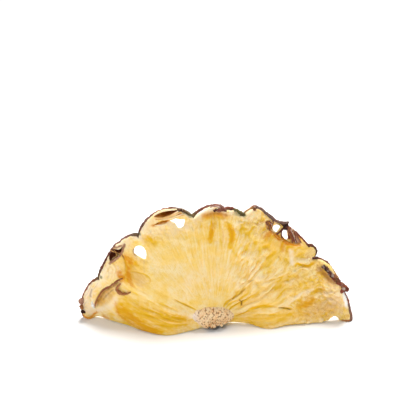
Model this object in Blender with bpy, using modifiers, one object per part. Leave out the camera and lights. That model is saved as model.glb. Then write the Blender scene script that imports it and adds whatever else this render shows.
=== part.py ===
"""A dried, unpeeled pineapple half ring that stands on its cut edge.

A thin sheet of flesh fans out from half of the woody core to a scalloped rim, one
scallop to a fruitlet. The cut edge waves in plan, so the slice stands on it, and its
left end curls back. The rind is a tougher band across the rim, with dried bract tips.
Two eyes of the fruit are torn through, others are open pockets, and a torn layer
curls off the left end. All of it is one solid.

Lengths are in millimetres and angles in degrees up to the last step. X runs along the
cut edge, Y is depth, away from the front, and Z is up. The ring's centre is at x = 0.
Rim angles start at the right end of the cut edge and run over the top to the left end.
"""

import math

import bmesh
import bpy
import numpy as np
from mathutils import Matrix, Vector, noise

PART_NAME = "dried_pineapple_half_ring"
MM = 0.001

# The fruitlets along the rim: the angle and radius of the cusp that each starts at,
# how far it bulges beyond the line to the next cusp, where along it the bulge is
# highest, how pointed it is, and how far its rim curls back (to the front if negative).
FRUITLETS = [
    (0.0, 50.3, 0.4, 0.35, 0.7, 1.2),
    (9.5, 49.4, 2.5, 0.76, 0.7, -1.6),
    (32.6, 42.8, 2.2, 0.32, 0.6, 0.8),
    (39.0, 44.6, 0.3, 0.60, 0.8, -0.6),
    (53.6, 44.8, 3.0, 0.76, 1.1, 0.7),
    (75.3, 43.6, 1.0, 0.55, 0.7, -0.5),
    (84.5, 44.3, 1.7, 0.32, 0.8, 1.3),
    (99.3, 42.9, 5.7, 0.45, 0.8, -0.8),
    (126.0, 43.7, 1.1, 0.20, 0.7, 0.8),
    (140.8, 45.7, 0.6, 0.75, 0.8, -0.6),
    (157.2, 43.1, 2.0, 0.42, 0.7, 0.8),
]
LAST_CUSP = (180.0, 46.2)
RIM_RAGGEDNESS = 0.22
RIM_WAVES = [(0.33, 1.0), (0.90, 0.6)]
COLUMN_STEP = 2.0
COLUMN_CROWDING = 0.5

# The cut edge from left to right: x, depth and height of the sheet's middle. It
# touches down at its left tip, at a lobe on each side of the core and at its right foot.
CUT_EDGE = [
    (-46.6, 17.4, 1.2),
    (-44.2, 17.8, 0.0),
    (-41.0, 17.6, 1.1),
    (-36.5, 15.0, 0.6),
    (-31.0, 11.0, 0.5),
    (-24.0, 5.3, 0.4),
    (-17.2, 2.4, 0.0),
    (-9.5, 3.6, 0.5),
    (-3.5, 4.9, 1.3),
    (7.5, 5.7, 1.5),
    (12.5, 4.4, 0.9),
    (19.5, 1.0, 0.0),
    (27.0, 1.8, 0.3),
    (35.0, 1.7, 0.5),
    (41.5, 1.8, 0.9),
    (44.6, 2.0, 2.3),
    (47.4, 1.6, 0.0),
    (50.8, 1.2, 0.0),
]
RING_CENTRE_HEIGHT = 1.5
EDGE_FADE = 5.0
EDGE_WAVE_HEIGHT = 17.0
EDGE_WAVE_FALL = 1.6

# Above the cut edge's waves the sheet leans back a little, and its left end more.
UPPER_DEPTH = 5.7
LEAN = 0.05
LEFT_CURL = 0.30
LEFT_CURL_START = -18.0
LEFT_CURL_SOFTNESS = 8.0

# The sheet reaches from inside the core to the rim. It is thickest in the lips of the
# rim, less so at the cusps, and round the core.
INNER_RADIUS = 4.0
ROWS = 16
ROW_CROWDING = 1.35
RIM_CURL_REACH = 0.80
FLESH_THICKNESS = 1.5
RIM_THICKNESS = 2.6
RIM_SWELL = 4.5
CUSP_SWELL_SHARE = 0.70
CORE_SWELL = 1.2
CORE_SWELL_REACH = 0.22

# Folds that radiate from the core: angle, depth, half width in degrees, and the radii
# between which each one runs.
RADIAL_FOLDS = [
    (54.0, 0.40, 3.5, 9.0, 32.0),
    (32.0, 0.50, 4.5, 10.0, 36.0),
    (16.0, 0.40, 4.0, 9.0, 44.0),
    (158.0, 0.50, 5.0, 10.0, 36.0),
    (142.0, 0.35, 4.0, 14.0, 40.0),
]
FOLD_FADE = 5.0
LUMP_DEPTH = 0.45
LUMP_SIZE = 7.0
LUMP_FREE_HEIGHTS = (2.0, 12.0)

# The core: half a disc of woody tissue, thicker than the flesh and granular.
CORE_CENTRE = (-1.0, 4.9)
CORE_RADIUS = 8.6
CORE_TOP = 7.3
CORE_THICKNESS = 5.0
CORE_GRAIN = 0.9
CORE_GRAIN_WAVES = 6.0
CORE_DROP = 0.2

# The rind band across the rim, and the rolled stretch of it on the right, which starts
# near the rim and ends further in.
RIND_WIDTH = 3.1
RIND_CUSP_SHARE = 0.88
RIND_RAGGEDNESS = 0.08
RIND_THICKNESS = 0.8
RIND_CROWN = 0.3
RIND_ROWS = 4
ROLLED_RIND = (14.5, 28.5)
ROLLED_RADIUS = 1.15
ROLLED_STEPS = 12
ROLLED_INSETS = (0.2, 1.7)
ROLLED_FORWARD = 1.3
ROLLED_END_SHARE = 0.45

# Dried bract tips on the rim: angle, length, base radius, and how far each leans to
# the front.
BRACT_ROOT = 0.7
BRACT_SIDES = 7
BRACT_TIP_SHARE = 0.3
BRACTS = [
    (11.2, 2.4, 1.2, 0.6),
    (35.0, 1.4, 0.9, 0.2),
    (53.8, 3.0, 1.4, 0.3),
    (84.0, 1.4, 1.0, 0.5),
    (141.2, 1.8, 1.0, 0.4),
    (174.0, 2.1, 1.2, 0.4),
]

# Holes torn through the flesh: the middle's x and height, half width, half height and
# turn in degrees.
HOLE_SIDES = 10
HOLE_RAGGEDNESS = 0.22
HOLE_WAVES = 1.3
PUNCH_LENGTH = 12.0
HOLES = [
    (-25.4, 30.6, 2.1, 2.5, 12.0),
    (-11.4, 42.0, 1.9, 2.0, 0.0),
    (23.9, 35.9, 3.5, 1.6, -42.0),
]

# Eyes of the fruit cut open at the front: the middle's x and height, half width, half
# height, turn in degrees, and depth.
POCKETS = [
    (-15.9, 45.9, 4.6, 1.0, 11.0, 1.7),
    (-17.9, 42.7, 2.5, 0.6, 15.0, 1.0),
    (-34.2, 29.9, 2.5, 1.8, 28.0, 1.6),
    (2.7, 44.9, 1.9, 0.6, -2.0, 1.1),
    (28.8, 34.4, 2.5, 1.2, -50.0, 1.4),
]

# Dark strands left across the torn eye on the right: the two ends' x and height, and
# the radius.
STRANDS = [
    ((25.2, 38.4), (22.6, 33.6), 0.45),
    ((27.2, 36.6), (25.6, 32.2), 0.35),
]
STRAND_PARTS = (0.0, 0.25, 0.5, 0.75, 1.0)
STRAND_BOW = 0.4

# A torn layer curls off the left end to the front. Its free edge is given by x and
# height, and each point of it by how far below and right of it the layer joins the
# sheet.
TORN_LAYERS = [
    [(-42.1, 7.0), (-40.5, 12.0), (-37.9, 15.8), (-35.0, 18.0), (-32.3, 20.9)],
    [(-34.4, 16.4), (-33.4, 14.2), (-31.7, 14.1), (-29.3, 15.5)],
]
TORN_LAYER_DEPTH = 2.0
TORN_LAYER_REACH = (3.4, -4.6)
TORN_LAYER_THICKNESS = 0.8
TORN_LAYER_ROOT = 0.3
TORN_LAYER_CURL = 1.4
TORN_LAYER_END_SHARE = 0.45
TORN_LAYER_COLUMNS = 8
TORN_LAYER_ROWS = 4


def smooth_step(low, high, value):
    """0 below low, 1 above high, and a smooth rise between."""
    part = np.clip((value - low) / (high - low), 0.0, 1.0)
    return part * part * (3.0 - 2.0 * part)


def soft_ramp(value, width):
    """0 well below zero and the value itself well above it."""
    return 0.5 * (value + np.sqrt(value * value + width * width))


def grain(x, y, z):
    """Smooth noise from -1 to 1."""
    return noise.noise(Vector((x, y, z)))


def cut_edge(x):
    """Depth and height of the cut edge at x, on a smooth curve through its points."""
    points = np.array(CUT_EDGE)
    slopes = np.gradient(points[:, 1:], points[:, 0], axis=0)
    x = float(np.clip(x, points[0, 0], points[-1, 0]))
    index = int(np.clip(np.searchsorted(points[:, 0], x) - 1, 0, len(points) - 2))
    start, end = points[index], points[index + 1]
    span = end[0] - start[0]
    t = (x - start[0]) / span
    rise = (2 * t**3 - 3 * t**2 + 1) * start[1:] + (3 * t**2 - 2 * t**3) * end[1:]
    bend = (t**3 - 2 * t**2 + t) * slopes[index] + (t**3 - t**2) * slopes[index + 1]
    return rise + bend * span


def fruitlet_at(angle):
    """The fruitlet that an angle falls in, and the place along it from 0 to 1."""
    starts = [fruitlet[0] for fruitlet in FRUITLETS]
    number = max(0, int(np.searchsorted(starts, angle, side="right")) - 1)
    ends = starts[1:] + [LAST_CUSP[0]]
    place = (angle - starts[number]) / (ends[number] - starts[number])
    return number, float(np.clip(place, 0.0, 1.0))


def rim_radius(angle):
    """Distance from the ring's centre to its scalloped rim."""
    number, place = fruitlet_at(angle)
    radii = [fruitlet[1] for fruitlet in FRUITLETS] + [LAST_CUSP[1]]
    bulge, peak, point = FRUITLETS[number][2:5]
    skewed = place ** (math.log(0.5) / math.log(peak))
    swell = max(0.0, math.sin(math.pi * skewed)) ** point
    ragged = sum(share * grain(rate * angle, row + 1.0, 0.0) for row, (rate, share) in enumerate(RIM_WAVES))
    straight = radii[number] + (radii[number + 1] - radii[number]) * place
    return straight + bulge * swell + RIM_RAGGEDNESS * ragged


def rim_curl(angle, reach):
    """How far the sheet is off its own depth near the rim, scallop by scallop."""
    number, place = fruitlet_at(angle)
    curl = FRUITLETS[number][5]
    return curl * math.sin(math.pi * place) * float(smooth_step(RIM_CURL_REACH, 1.0, reach))


def radial_folds(angle, radius):
    """Depth of the folds that radiate from the core."""
    depth = 0.0
    for fold_angle, fold_depth, half_width, start, end in RADIAL_FOLDS:
        across = math.exp(-(((angle - fold_angle) / half_width) ** 2))
        begun = smooth_step(start - FOLD_FADE, start + FOLD_FADE, radius)
        ended = smooth_step(end - FOLD_FADE, end + FOLD_FADE, radius)
        depth += fold_depth * across * float(begun * (1.0 - ended))
    return depth


def sheet_point(angle, reach):
    """A point of the sheet's middle, from the core (reach 0) to the rim (reach 1)."""
    radius = INNER_RADIUS + (rim_radius(angle) - INNER_RADIUS) * reach
    x = radius * math.cos(math.radians(angle))
    height = radius * math.sin(math.radians(angle))
    edge_depth, edge_height = cut_edge(x)
    z = RING_CENTRE_HEIGHT + height + (edge_height - RING_CENTRE_HEIGHT) * math.exp(-height / EDGE_FADE)
    left_curl = LEFT_CURL * soft_ramp(LEFT_CURL_START - x, LEFT_CURL_SOFTNESS)
    upper_depth = UPPER_DEPTH + LEAN * height + left_curl
    low = math.exp(-((height / EDGE_WAVE_HEIGHT) ** EDGE_WAVE_FALL))
    y = edge_depth * low + upper_depth * (1.0 - low) + rim_curl(angle, reach)
    y += radial_folds(angle, radius) * float(smooth_step(0.0, EDGE_FADE, height))
    lumps = LUMP_DEPTH * grain(x / LUMP_SIZE, 3.0, height / LUMP_SIZE)
    y += lumps * float(smooth_step(*LUMP_FREE_HEIGHTS, height))
    return Vector((x, y, z))


def sheet_depth(x, z):
    """Depth of the sheet's middle where it is seen at x and height z."""
    angle = math.degrees(math.atan2(z - RING_CENTRE_HEIGHT, x))
    radius = math.hypot(x, z - RING_CENTRE_HEIGHT)
    reach = (radius - INNER_RADIUS) / (rim_radius(angle) - INNER_RADIUS)
    return sheet_point(angle, min(max(reach, 0.0), 1.0)).y


def sheet_thickness(angle, reach):
    """Thin flesh that thickens at the core and in the lips of the rim."""
    radius = rim_radius(angle)
    place = fruitlet_at(angle)[1]
    from_rim = (1.0 - reach) * (radius - INNER_RADIUS)
    lip = (RIM_THICKNESS - FLESH_THICKNESS) * (1.0 - float(smooth_step(0.5, RIM_SWELL, from_rim)))
    lip *= CUSP_SWELL_SHARE + (1.0 - CUSP_SWELL_SHARE) * math.sin(math.pi * place)
    at_core = CORE_SWELL * (1.0 - float(smooth_step(0.0, CORE_SWELL_REACH, reach)))
    return FLESH_THICKNESS + lip + at_core


def column_angles():
    """The rim angle of each column of the sheet, closer together at the cusps."""
    starts = [fruitlet[0] for fruitlet in FRUITLETS] + [LAST_CUSP[0]]
    angles = []
    for start, end in zip(starts, starts[1:]):
        count = round((end - start) / COLUMN_STEP)
        for column in range(count):
            even = column / count
            eased = 0.5 - 0.5 * math.cos(math.pi * even)
            angles.append(start + (end - start) * (even + COLUMN_CROWDING * (eased - even)))
    return angles + [LAST_CUSP[0]]


def row_reach(row):
    """How far out a row of the sheet lies, with the rows closer together at the rim."""
    return 1.0 - (1.0 - row / ROWS) ** ROW_CROWDING


def new_collection(name):
    """A collection in the scene."""
    collection = bpy.data.collections.new(name)
    bpy.context.scene.collection.children.link(collection)
    return collection


def add_object(name, source, collection):
    """An object made from a bmesh."""
    mesh = bpy.data.meshes.new(name)
    source.to_mesh(mesh)
    source.free()
    thing = bpy.data.objects.new(name, mesh)
    collection.objects.link(thing)
    return thing


def add_surface(name, columns, rows, place, collection, weight=None):
    """A grid of quads whose corner (column, row) lies at place(column, row).

    Where weight is given, it fills the vertex group that sets the thickness.
    """
    surface = bmesh.new()
    bmesh.ops.create_grid(surface, x_segments=columns, y_segments=rows, size=0.5)
    group = surface.verts.layers.deform.verify()
    for vertex in surface.verts:
        column = round((vertex.co.x + 0.5) * columns)
        row = round((vertex.co.y + 0.5) * rows)
        vertex.co = place(column, row)
        if weight:
            vertex[group][0] = weight(column, row)
    thing = add_object(name, surface, collection)
    if weight:
        thing.vertex_groups.new(name="thickness")
    return thing


def bake_modifiers(thing):
    """Apply the object's modifiers to its mesh."""
    bpy.context.view_layer.update()
    evaluated = thing.evaluated_get(bpy.context.evaluated_depsgraph_get())
    mesh = bpy.data.meshes.new_from_object(evaluated)
    thing.modifiers.clear()
    thing.data = mesh


def thicken(thing, thickness):
    """Give a surface a body, half of it on each side, that ends flat on the floor."""
    shell = thing.modifiers.new("Thickness", "SOLIDIFY")
    shell.thickness = thickness
    shell.offset = 0.0
    if thing.vertex_groups:
        shell.vertex_group = "thickness"
        shell.thickness_vertex_group = 0.0
    bake_modifiers(thing)
    for vertex in thing.data.vertices:
        vertex.co.z = max(vertex.co.z, 0.0)


def build_flesh(collection):
    """The fan of flesh from the core to the rim, standing on its cut edge."""
    angles = column_angles()
    thickest = RIM_THICKNESS + CORE_SWELL

    def place(column, row):
        return sheet_point(angles[column], row_reach(row))

    def weight(column, row):
        return sheet_thickness(angles[column], row_reach(row)) / thickest

    flesh = add_surface("flesh", len(angles) - 1, ROWS, place, collection, weight)
    thicken(flesh, thickest)
    return flesh


def rim_frame(angle):
    """The middle of the rim, and the directions outwards and to the back there."""
    rim = sheet_point(angle, 1.0)
    outward = (rim - sheet_point(angle, 0.96)).normalized()
    before = sheet_point(max(angle - 2.0, 0.0), 0.96)
    after = sheet_point(min(angle + 2.0, LAST_CUSP[0]), 0.96)
    back = (after - before).cross(outward).normalized()
    return rim, outward, back


def build_rind(collection):
    """The tough band of rind across the rim, narrower at the cusps."""
    angles = column_angles()

    def place(column, row):
        rim, outward, back = rim_frame(angles[column])
        across = 2.0 * row / RIND_ROWS - 1.0
        along = math.sin(math.pi * fruitlet_at(angles[column])[1])
        ragged = RIND_RAGGEDNESS * grain(0.4 * column, across, 7.0)
        width = RIND_WIDTH * (RIND_CUSP_SHARE + (1.0 - RIND_CUSP_SHARE) * along + ragged)
        crown = RIND_CROWN * (1.0 - across * across)
        return rim + outward * crown + back * (across * width / 2.0)

    rind = add_surface("rind", len(angles) - 1, RIND_ROWS, place, collection)
    thicken(rind, RIND_THICKNESS)


def build_tube(name, points, radii, collection):
    """A round strand through the points, with a closed body."""
    curve = bpy.data.curves.new(name, "CURVE")
    curve.dimensions = "3D"
    curve.bevel_depth = 1.0
    curve.bevel_resolution = 2
    curve.use_fill_caps = True
    spline = curve.splines.new("POLY")
    spline.points.add(len(points) - 1)
    for spline_point, place, radius in zip(spline.points, points, radii):
        spline_point.co = (*place, 1.0)
        spline_point.radius = radius
    strand = bpy.data.objects.new(name, curve)
    collection.objects.link(strand)
    bpy.context.view_layer.update()
    evaluated = strand.evaluated_get(bpy.context.evaluated_depsgraph_get())
    body = bmesh.new()
    body.from_mesh(bpy.data.meshes.new_from_object(evaluated))
    bmesh.ops.remove_doubles(body, verts=body.verts, dist=0.001)
    bmesh.ops.recalc_face_normals(body, faces=body.faces)
    bpy.data.objects.remove(strand)
    add_object(name, body, collection)


def build_rolled_rind(collection):
    """The stretch of the rim on the right that has rolled up into a thick bead."""
    points = []
    radii = []
    for part in np.linspace(0.0, 1.0, ROLLED_STEPS + 1):
        angle = ROLLED_RIND[0] + (ROLLED_RIND[1] - ROLLED_RIND[0]) * part
        inset = ROLLED_INSETS[0] + (ROLLED_INSETS[1] - ROLLED_INSETS[0]) * part
        rim, outward, back = rim_frame(angle)
        points.append(rim - outward * inset - back * ROLLED_FORWARD)
        swell = ROLLED_END_SHARE + (1.0 - ROLLED_END_SHARE) * math.sin(math.pi * part)
        radii.append(ROLLED_RADIUS * swell)
    build_tube("rolled_rind", points, radii, collection)


def build_bract(angle, length, radius, lean, collection):
    """A dried bract tip: a small crooked cone on the rim."""
    rim, outward, back = rim_frame(angle)
    direction = (outward - back * lean).normalized()
    turn = direction.to_track_quat("Z", "Y").to_matrix().to_4x4()
    place = Matrix.Translation(rim + direction * (length / 2.0 - BRACT_ROOT)) @ turn
    cone = bmesh.new()
    bmesh.ops.create_cone(
        cone,
        cap_ends=True,
        segments=BRACT_SIDES,
        radius1=radius,
        radius2=radius * BRACT_TIP_SHARE,
        depth=length,
        matrix=place,
    )
    add_object("bract", cone, collection)


def build_core(collection):
    """The half disc of woody core, blunt at the front and back, and lumpy."""
    core = bmesh.new()
    bmesh.ops.create_icosphere(core, subdivisions=3, radius=1.0)
    floor = bmesh.ops.bisect_plane(
        core,
        geom=core.verts[:] + core.edges[:] + core.faces[:],
        plane_co=(0.0, 0.0, 0.0),
        plane_no=(0.0, 0.0, -1.0),
        clear_outer=True,
    )
    rim_edges = [item for item in floor["geom_cut"] if isinstance(item, bmesh.types.BMEdge)]
    bmesh.ops.holes_fill(core, edges=rim_edges)
    bmesh.ops.triangulate(core, faces=core.faces)
    for vertex in core.verts:
        x, y, z = vertex.co
        blunt = math.copysign(math.sqrt(max(0.0, 1.0 - (x * x + z * z) ** 2)), y) if abs(y) > 0.001 else 0.0
        rough = grain(x * CORE_GRAIN_WAVES, y * CORE_GRAIN_WAVES / 2.0, z * CORE_GRAIN_WAVES)
        lump = 1.0 + CORE_GRAIN / CORE_RADIUS * rough
        vertex.co.x = CORE_CENTRE[0] + CORE_RADIUS * x * lump
        vertex.co.y = CORE_CENTRE[1] + CORE_THICKNESS / 2.0 * blunt * lump
        vertex.co.z = RING_CENTRE_HEIGHT - CORE_DROP + CORE_TOP * z * lump
    bmesh.ops.recalc_face_normals(core, faces=core.faces)
    add_object("core", core, collection)


def build_hole(number, x, z, half_width, half_height, turn, collection):
    """A ragged punch that goes right through the sheet."""
    hole = bmesh.new()
    bmesh.ops.create_cone(
        hole,
        cap_ends=True,
        segments=HOLE_SIDES,
        radius1=1.0,
        radius2=1.0,
        depth=PUNCH_LENGTH,
        matrix=Matrix.Rotation(math.radians(90.0), 4, "X"),
    )
    spin = Matrix.Rotation(math.radians(-turn), 4, "Y")
    for vertex in hole.verts:
        side, depth, up = vertex.co
        ragged = 1.0 + HOLE_RAGGEDNESS * grain(side * HOLE_WAVES, float(number), up * HOLE_WAVES)
        shaped = spin @ Vector((side * half_width * ragged, depth, up * half_height * ragged))
        vertex.co = shaped + Vector((x, sheet_depth(x, z), z))
    add_cutter(f"hole_{number}", hole, collection)


def build_pocket(number, x, z, half_width, half_height, turn, depth, collection):
    """A lens that hollows the front of the sheet."""
    pocket = bmesh.new()
    bmesh.ops.create_uvsphere(pocket, u_segments=12, v_segments=8, radius=1.0)
    angle = math.degrees(math.atan2(z - RING_CENTRE_HEIGHT, x))
    reach = (math.hypot(x, z - RING_CENTRE_HEIGHT) - INNER_RADIUS) / (rim_radius(angle) - INNER_RADIUS)
    front = sheet_depth(x, z) - sheet_thickness(angle, reach) / 2.0
    spin = Matrix.Rotation(math.radians(-turn), 4, "Y")
    for vertex in pocket.verts:
        shaped = spin @ Vector((vertex.co.x * half_width, vertex.co.y * depth, vertex.co.z * half_height))
        vertex.co = shaped + Vector((x, front, z))
    add_cutter(f"pocket_{number}", pocket, collection)


def add_cutter(name, source, collection):
    """A cutter, which shows as a wire and is never rendered."""
    bmesh.ops.recalc_face_normals(source, faces=source.faces)
    cutter = add_object(name, source, collection)
    cutter.display_type = "WIRE"
    cutter.hide_render = True


def build_torn_layer(number, edge, collection):
    """A layer that has torn loose and whose free edge curls to the front."""
    stations = np.linspace(0.0, 1.0, len(edge))

    def place(column, row):
        along = column / TORN_LAYER_COLUMNS
        across = row / TORN_LAYER_ROWS
        x = float(np.interp(along, stations, [point[0] for point in edge])) + TORN_LAYER_REACH[0] * across
        z = float(np.interp(along, stations, [point[1] for point in edge])) + TORN_LAYER_REACH[1] * across
        swell = TORN_LAYER_END_SHARE + (1.0 - TORN_LAYER_END_SHARE) * math.sin(math.pi * along)
        lift = TORN_LAYER_DEPTH * (1.0 - across) ** TORN_LAYER_CURL * swell
        return Vector((x, sheet_depth(x, z) - TORN_LAYER_ROOT - lift, z))

    layer = add_surface(f"torn_layer_{number}", TORN_LAYER_COLUMNS, TORN_LAYER_ROWS, place, collection)
    thicken(layer, TORN_LAYER_THICKNESS)


def build_strand(number, top, bottom, radius, collection):
    """A dark strand that spans a hole."""
    points = []
    for part in STRAND_PARTS:
        x = top[0] + (bottom[0] - top[0]) * part
        z = top[1] + (bottom[1] - top[1]) * part
        points.append(Vector((x, sheet_depth(x, z) - STRAND_BOW * math.sin(math.pi * part), z)))
    build_tube(f"strand_{number}", points, [radius] * len(points), collection)


def combine(thing, collection, operation):
    """One Boolean of the object and a whole collection, whose objects are then removed."""
    boolean = thing.modifiers.new(operation.title(), "BOOLEAN")
    boolean.operation = operation
    boolean.operand_type = "COLLECTION"
    boolean.collection = collection
    boolean.solver = "MANIFOLD"
    bake_modifiers(thing)
    for piece in list(collection.objects):
        bpy.data.objects.remove(piece)


def keep_outer_body(thing):
    """Fill sealed hollows and drop loose scraps: only the largest shell stays."""
    body = bmesh.new()
    body.from_mesh(thing.data)
    body.verts.ensure_lookup_table()
    unseen = set(body.verts)
    shells = []
    while unseen:
        front = [unseen.pop()]
        shell = set(front)
        while front:
            vertex = front.pop()
            for edge in vertex.link_edges:
                other = edge.other_vert(vertex)
                if other in unseen:
                    unseen.discard(other)
                    shell.add(other)
                    front.append(other)
        shells.append(shell)
    largest = max(shells, key=len)
    loose = [vertex for vertex in body.verts if vertex not in largest]
    bmesh.ops.delete(body, geom=loose, context="VERTS")
    body.to_mesh(thing.data)
    body.free()


def settle(thing):
    """Put the middle of the underside at the origin, and turn millimetres into metres."""
    corners = np.array([vertex.co for vertex in thing.data.vertices])
    low, high = corners.min(axis=0), corners.max(axis=0)
    origin = Vector(((low[0] + high[0]) / 2.0, (low[1] + high[1]) / 2.0, low[2]))
    thing.data.transform(Matrix.Scale(MM, 4) @ Matrix.Translation(-origin))


def dried_fruit_material():
    """Golden, slightly waxy dried flesh."""
    material = bpy.data.materials.new("dried_pineapple")
    material.use_nodes = True
    shader = material.node_tree.nodes["Principled BSDF"]
    shader.inputs["Base Color"].default_value = (0.86, 0.58, 0.20, 1.0)
    shader.inputs["Roughness"].default_value = 0.55
    shader.inputs["Metallic"].default_value = 0.0
    return material


def main():
    """Build the half ring."""
    for old in list(bpy.data.objects):
        bpy.data.objects.remove(old)
    part = new_collection(PART_NAME)
    joined = new_collection("joined")
    cutters = new_collection("cutters")

    half_ring = build_flesh(part)
    for number, hole in enumerate(HOLES):
        build_hole(number, *hole, cutters)
    for number, pocket in enumerate(POCKETS):
        build_pocket(number, *pocket, cutters)
    combine(half_ring, cutters, "DIFFERENCE")

    build_core(joined)
    build_rind(joined)
    build_rolled_rind(joined)
    for bract in BRACTS:
        build_bract(*bract, joined)
    for number, edge in enumerate(TORN_LAYERS):
        build_torn_layer(number, edge, joined)
    for number, (top, bottom, radius) in enumerate(STRANDS):
        build_strand(number, top, bottom, radius, joined)
    combine(half_ring, joined, "UNION")

    keep_outer_body(half_ring)
    settle(half_ring)
    half_ring.name = PART_NAME
    half_ring.data.name = PART_NAME
    half_ring.data.materials.clear()
    half_ring.data.materials.append(dried_fruit_material())
    half_ring.data.shade_smooth()
    half_ring.data.set_sharp_from_angle(angle=math.radians(50.0))
    for spare in (joined, cutters):
        bpy.data.collections.remove(spare)


main()
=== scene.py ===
"""The looks of a dried, unpeeled pineapple half ring that stands on its cut edge.

The fine surface is modelled on the same fan as the solid: flesh with its fibres, lumps,
wrinkles, folds, holes and open eyes, and the core, the rind, torn layers, lips and strands
as pieces of their own. Masks on the vertices say where the flesh is golden, caramel, brown,
pale or green, and the materials mix their colours from those masks and from noise.

Lengths are in millimetres and angles in degrees, in the fruit's own coordinates, until each
piece is finished: x runs along the cut edge from the ring's centre, y is depth away from the
front and z is up. Rim angles start at the right end and run over the top to the left end.
"""

import math

import bmesh
import bpy
import numpy as np
from mathutils import Matrix, Vector, kdtree, noise


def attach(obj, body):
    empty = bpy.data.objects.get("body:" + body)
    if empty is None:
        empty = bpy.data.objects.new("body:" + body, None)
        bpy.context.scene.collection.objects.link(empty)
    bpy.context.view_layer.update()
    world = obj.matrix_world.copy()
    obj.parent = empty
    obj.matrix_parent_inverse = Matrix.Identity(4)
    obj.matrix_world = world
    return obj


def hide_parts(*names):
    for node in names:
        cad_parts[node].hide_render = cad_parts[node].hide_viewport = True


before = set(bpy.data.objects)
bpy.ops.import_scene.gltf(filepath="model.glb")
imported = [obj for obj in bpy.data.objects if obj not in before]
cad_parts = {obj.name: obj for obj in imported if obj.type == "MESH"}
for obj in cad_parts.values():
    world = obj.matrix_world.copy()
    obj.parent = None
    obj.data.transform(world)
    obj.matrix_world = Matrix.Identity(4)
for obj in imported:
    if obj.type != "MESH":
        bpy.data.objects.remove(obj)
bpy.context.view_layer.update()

NODE = "dried_pineapple_half_ring"
BODY = "root"
MM = 0.001

# Where the frame's origin lies in the fruit's own coordinates.
FRAME_ORIGIN = np.array([1.690, 9.499, 0.0])

# The fruitlets along the rim: the angle and radius of the cusp that each starts at,
# how far it bulges beyond the line to the next cusp, where along it the bulge is
# highest, how pointed it is, and how far its rim curls back (to the front if negative).
FRUITLETS = np.array([
    (0.0, 50.3, 0.4, 0.35, 0.7, 1.2),
    (9.5, 49.4, 2.5, 0.76, 0.7, -1.6),
    (32.6, 42.8, 2.2, 0.32, 0.6, 0.8),
    (39.0, 44.6, 0.3, 0.60, 0.8, -0.6),
    (53.6, 44.8, 3.0, 0.76, 1.1, 0.7),
    (75.3, 43.6, 1.0, 0.55, 0.7, -0.5),
    (84.5, 44.3, 1.7, 0.32, 0.8, 1.3),
    (99.3, 42.9, 5.7, 0.45, 0.8, -0.8),
    (126.0, 43.7, 1.1, 0.20, 0.7, 0.8),
    (140.8, 45.7, 0.6, 0.75, 0.8, -0.6),
    (157.2, 43.1, 2.0, 0.42, 0.7, 0.8),
])
LAST_CUSP = (180.0, 46.2)
RIM_RAGGEDNESS = 0.22
RIM_WAVES = [(0.33, 1.0), (0.90, 0.6)]

# The cut edge from left to right: x, depth and height of the sheet's middle.
CUT_EDGE = np.array([
    (-46.6, 17.4, 1.2),
    (-44.2, 17.8, 0.0),
    (-41.0, 17.6, 1.1),
    (-36.5, 15.0, 0.6),
    (-31.0, 11.0, 0.5),
    (-24.0, 5.3, 0.4),
    (-17.2, 2.4, 0.0),
    (-9.5, 3.6, 0.5),
    (-3.5, 4.9, 1.3),
    (7.5, 5.7, 1.5),
    (12.5, 4.4, 0.9),
    (19.5, 1.0, 0.0),
    (27.0, 1.8, 0.3),
    (35.0, 1.7, 0.5),
    (41.5, 1.8, 0.9),
    (44.6, 2.0, 2.3),
    (47.4, 1.6, 0.0),
    (50.8, 1.2, 0.0),
])
RING_CENTRE_HEIGHT = 1.5
EDGE_FADE = 5.0
EDGE_WAVE_HEIGHT = 17.0
EDGE_WAVE_FALL = 1.6
UPPER_DEPTH = 5.7
LEAN = 0.05
LEFT_CURL = 0.30
LEFT_CURL_START = -18.0
LEFT_CURL_SOFTNESS = 8.0
INNER_RADIUS = 4.0
FLESH_THICKNESS = 1.5
RIM_THICKNESS = 2.6
RIM_SWELL = 4.5
CUSP_SWELL_SHARE = 0.70
CORE_SWELL = 1.2
CORE_SWELL_REACH = 0.22

# Folds that radiate from the core: angle, depth, half width in degrees, and the radii
# between which each one runs.
RADIAL_FOLDS = [
    (54.0, 0.40, 3.5, 9.0, 32.0),
    (32.0, 0.50, 4.5, 10.0, 36.0),
    (16.0, 0.40, 4.0, 9.0, 44.0),
    (158.0, 0.50, 5.0, 10.0, 36.0),
    (142.0, 0.35, 4.0, 14.0, 40.0),
]
FOLD_FADE = 5.0
LUMP_DEPTH = 0.45
LUMP_SIZE = 7.0

# The fibres: the angle that the densest ones run at, the radius at which a width along the
# fan is measured, and how the colours of the back differ from the front's.
FAN_MIDDLE = 84.0
FAN_RADIUS = 28.0
BACK_COLOUR_SHARE = 0.35
BACK_LAYER = 9.0

# The fine sheet: columns along the rim, in degrees, rows from the core to the rim, and how
# far from the rim its lip starts to round off.
COLUMN_STEP = 0.5
SHEET_ROWS = 124
LIP_ROUNDING = 1.0
LIP_EDGE_SHARE = 0.12

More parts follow.
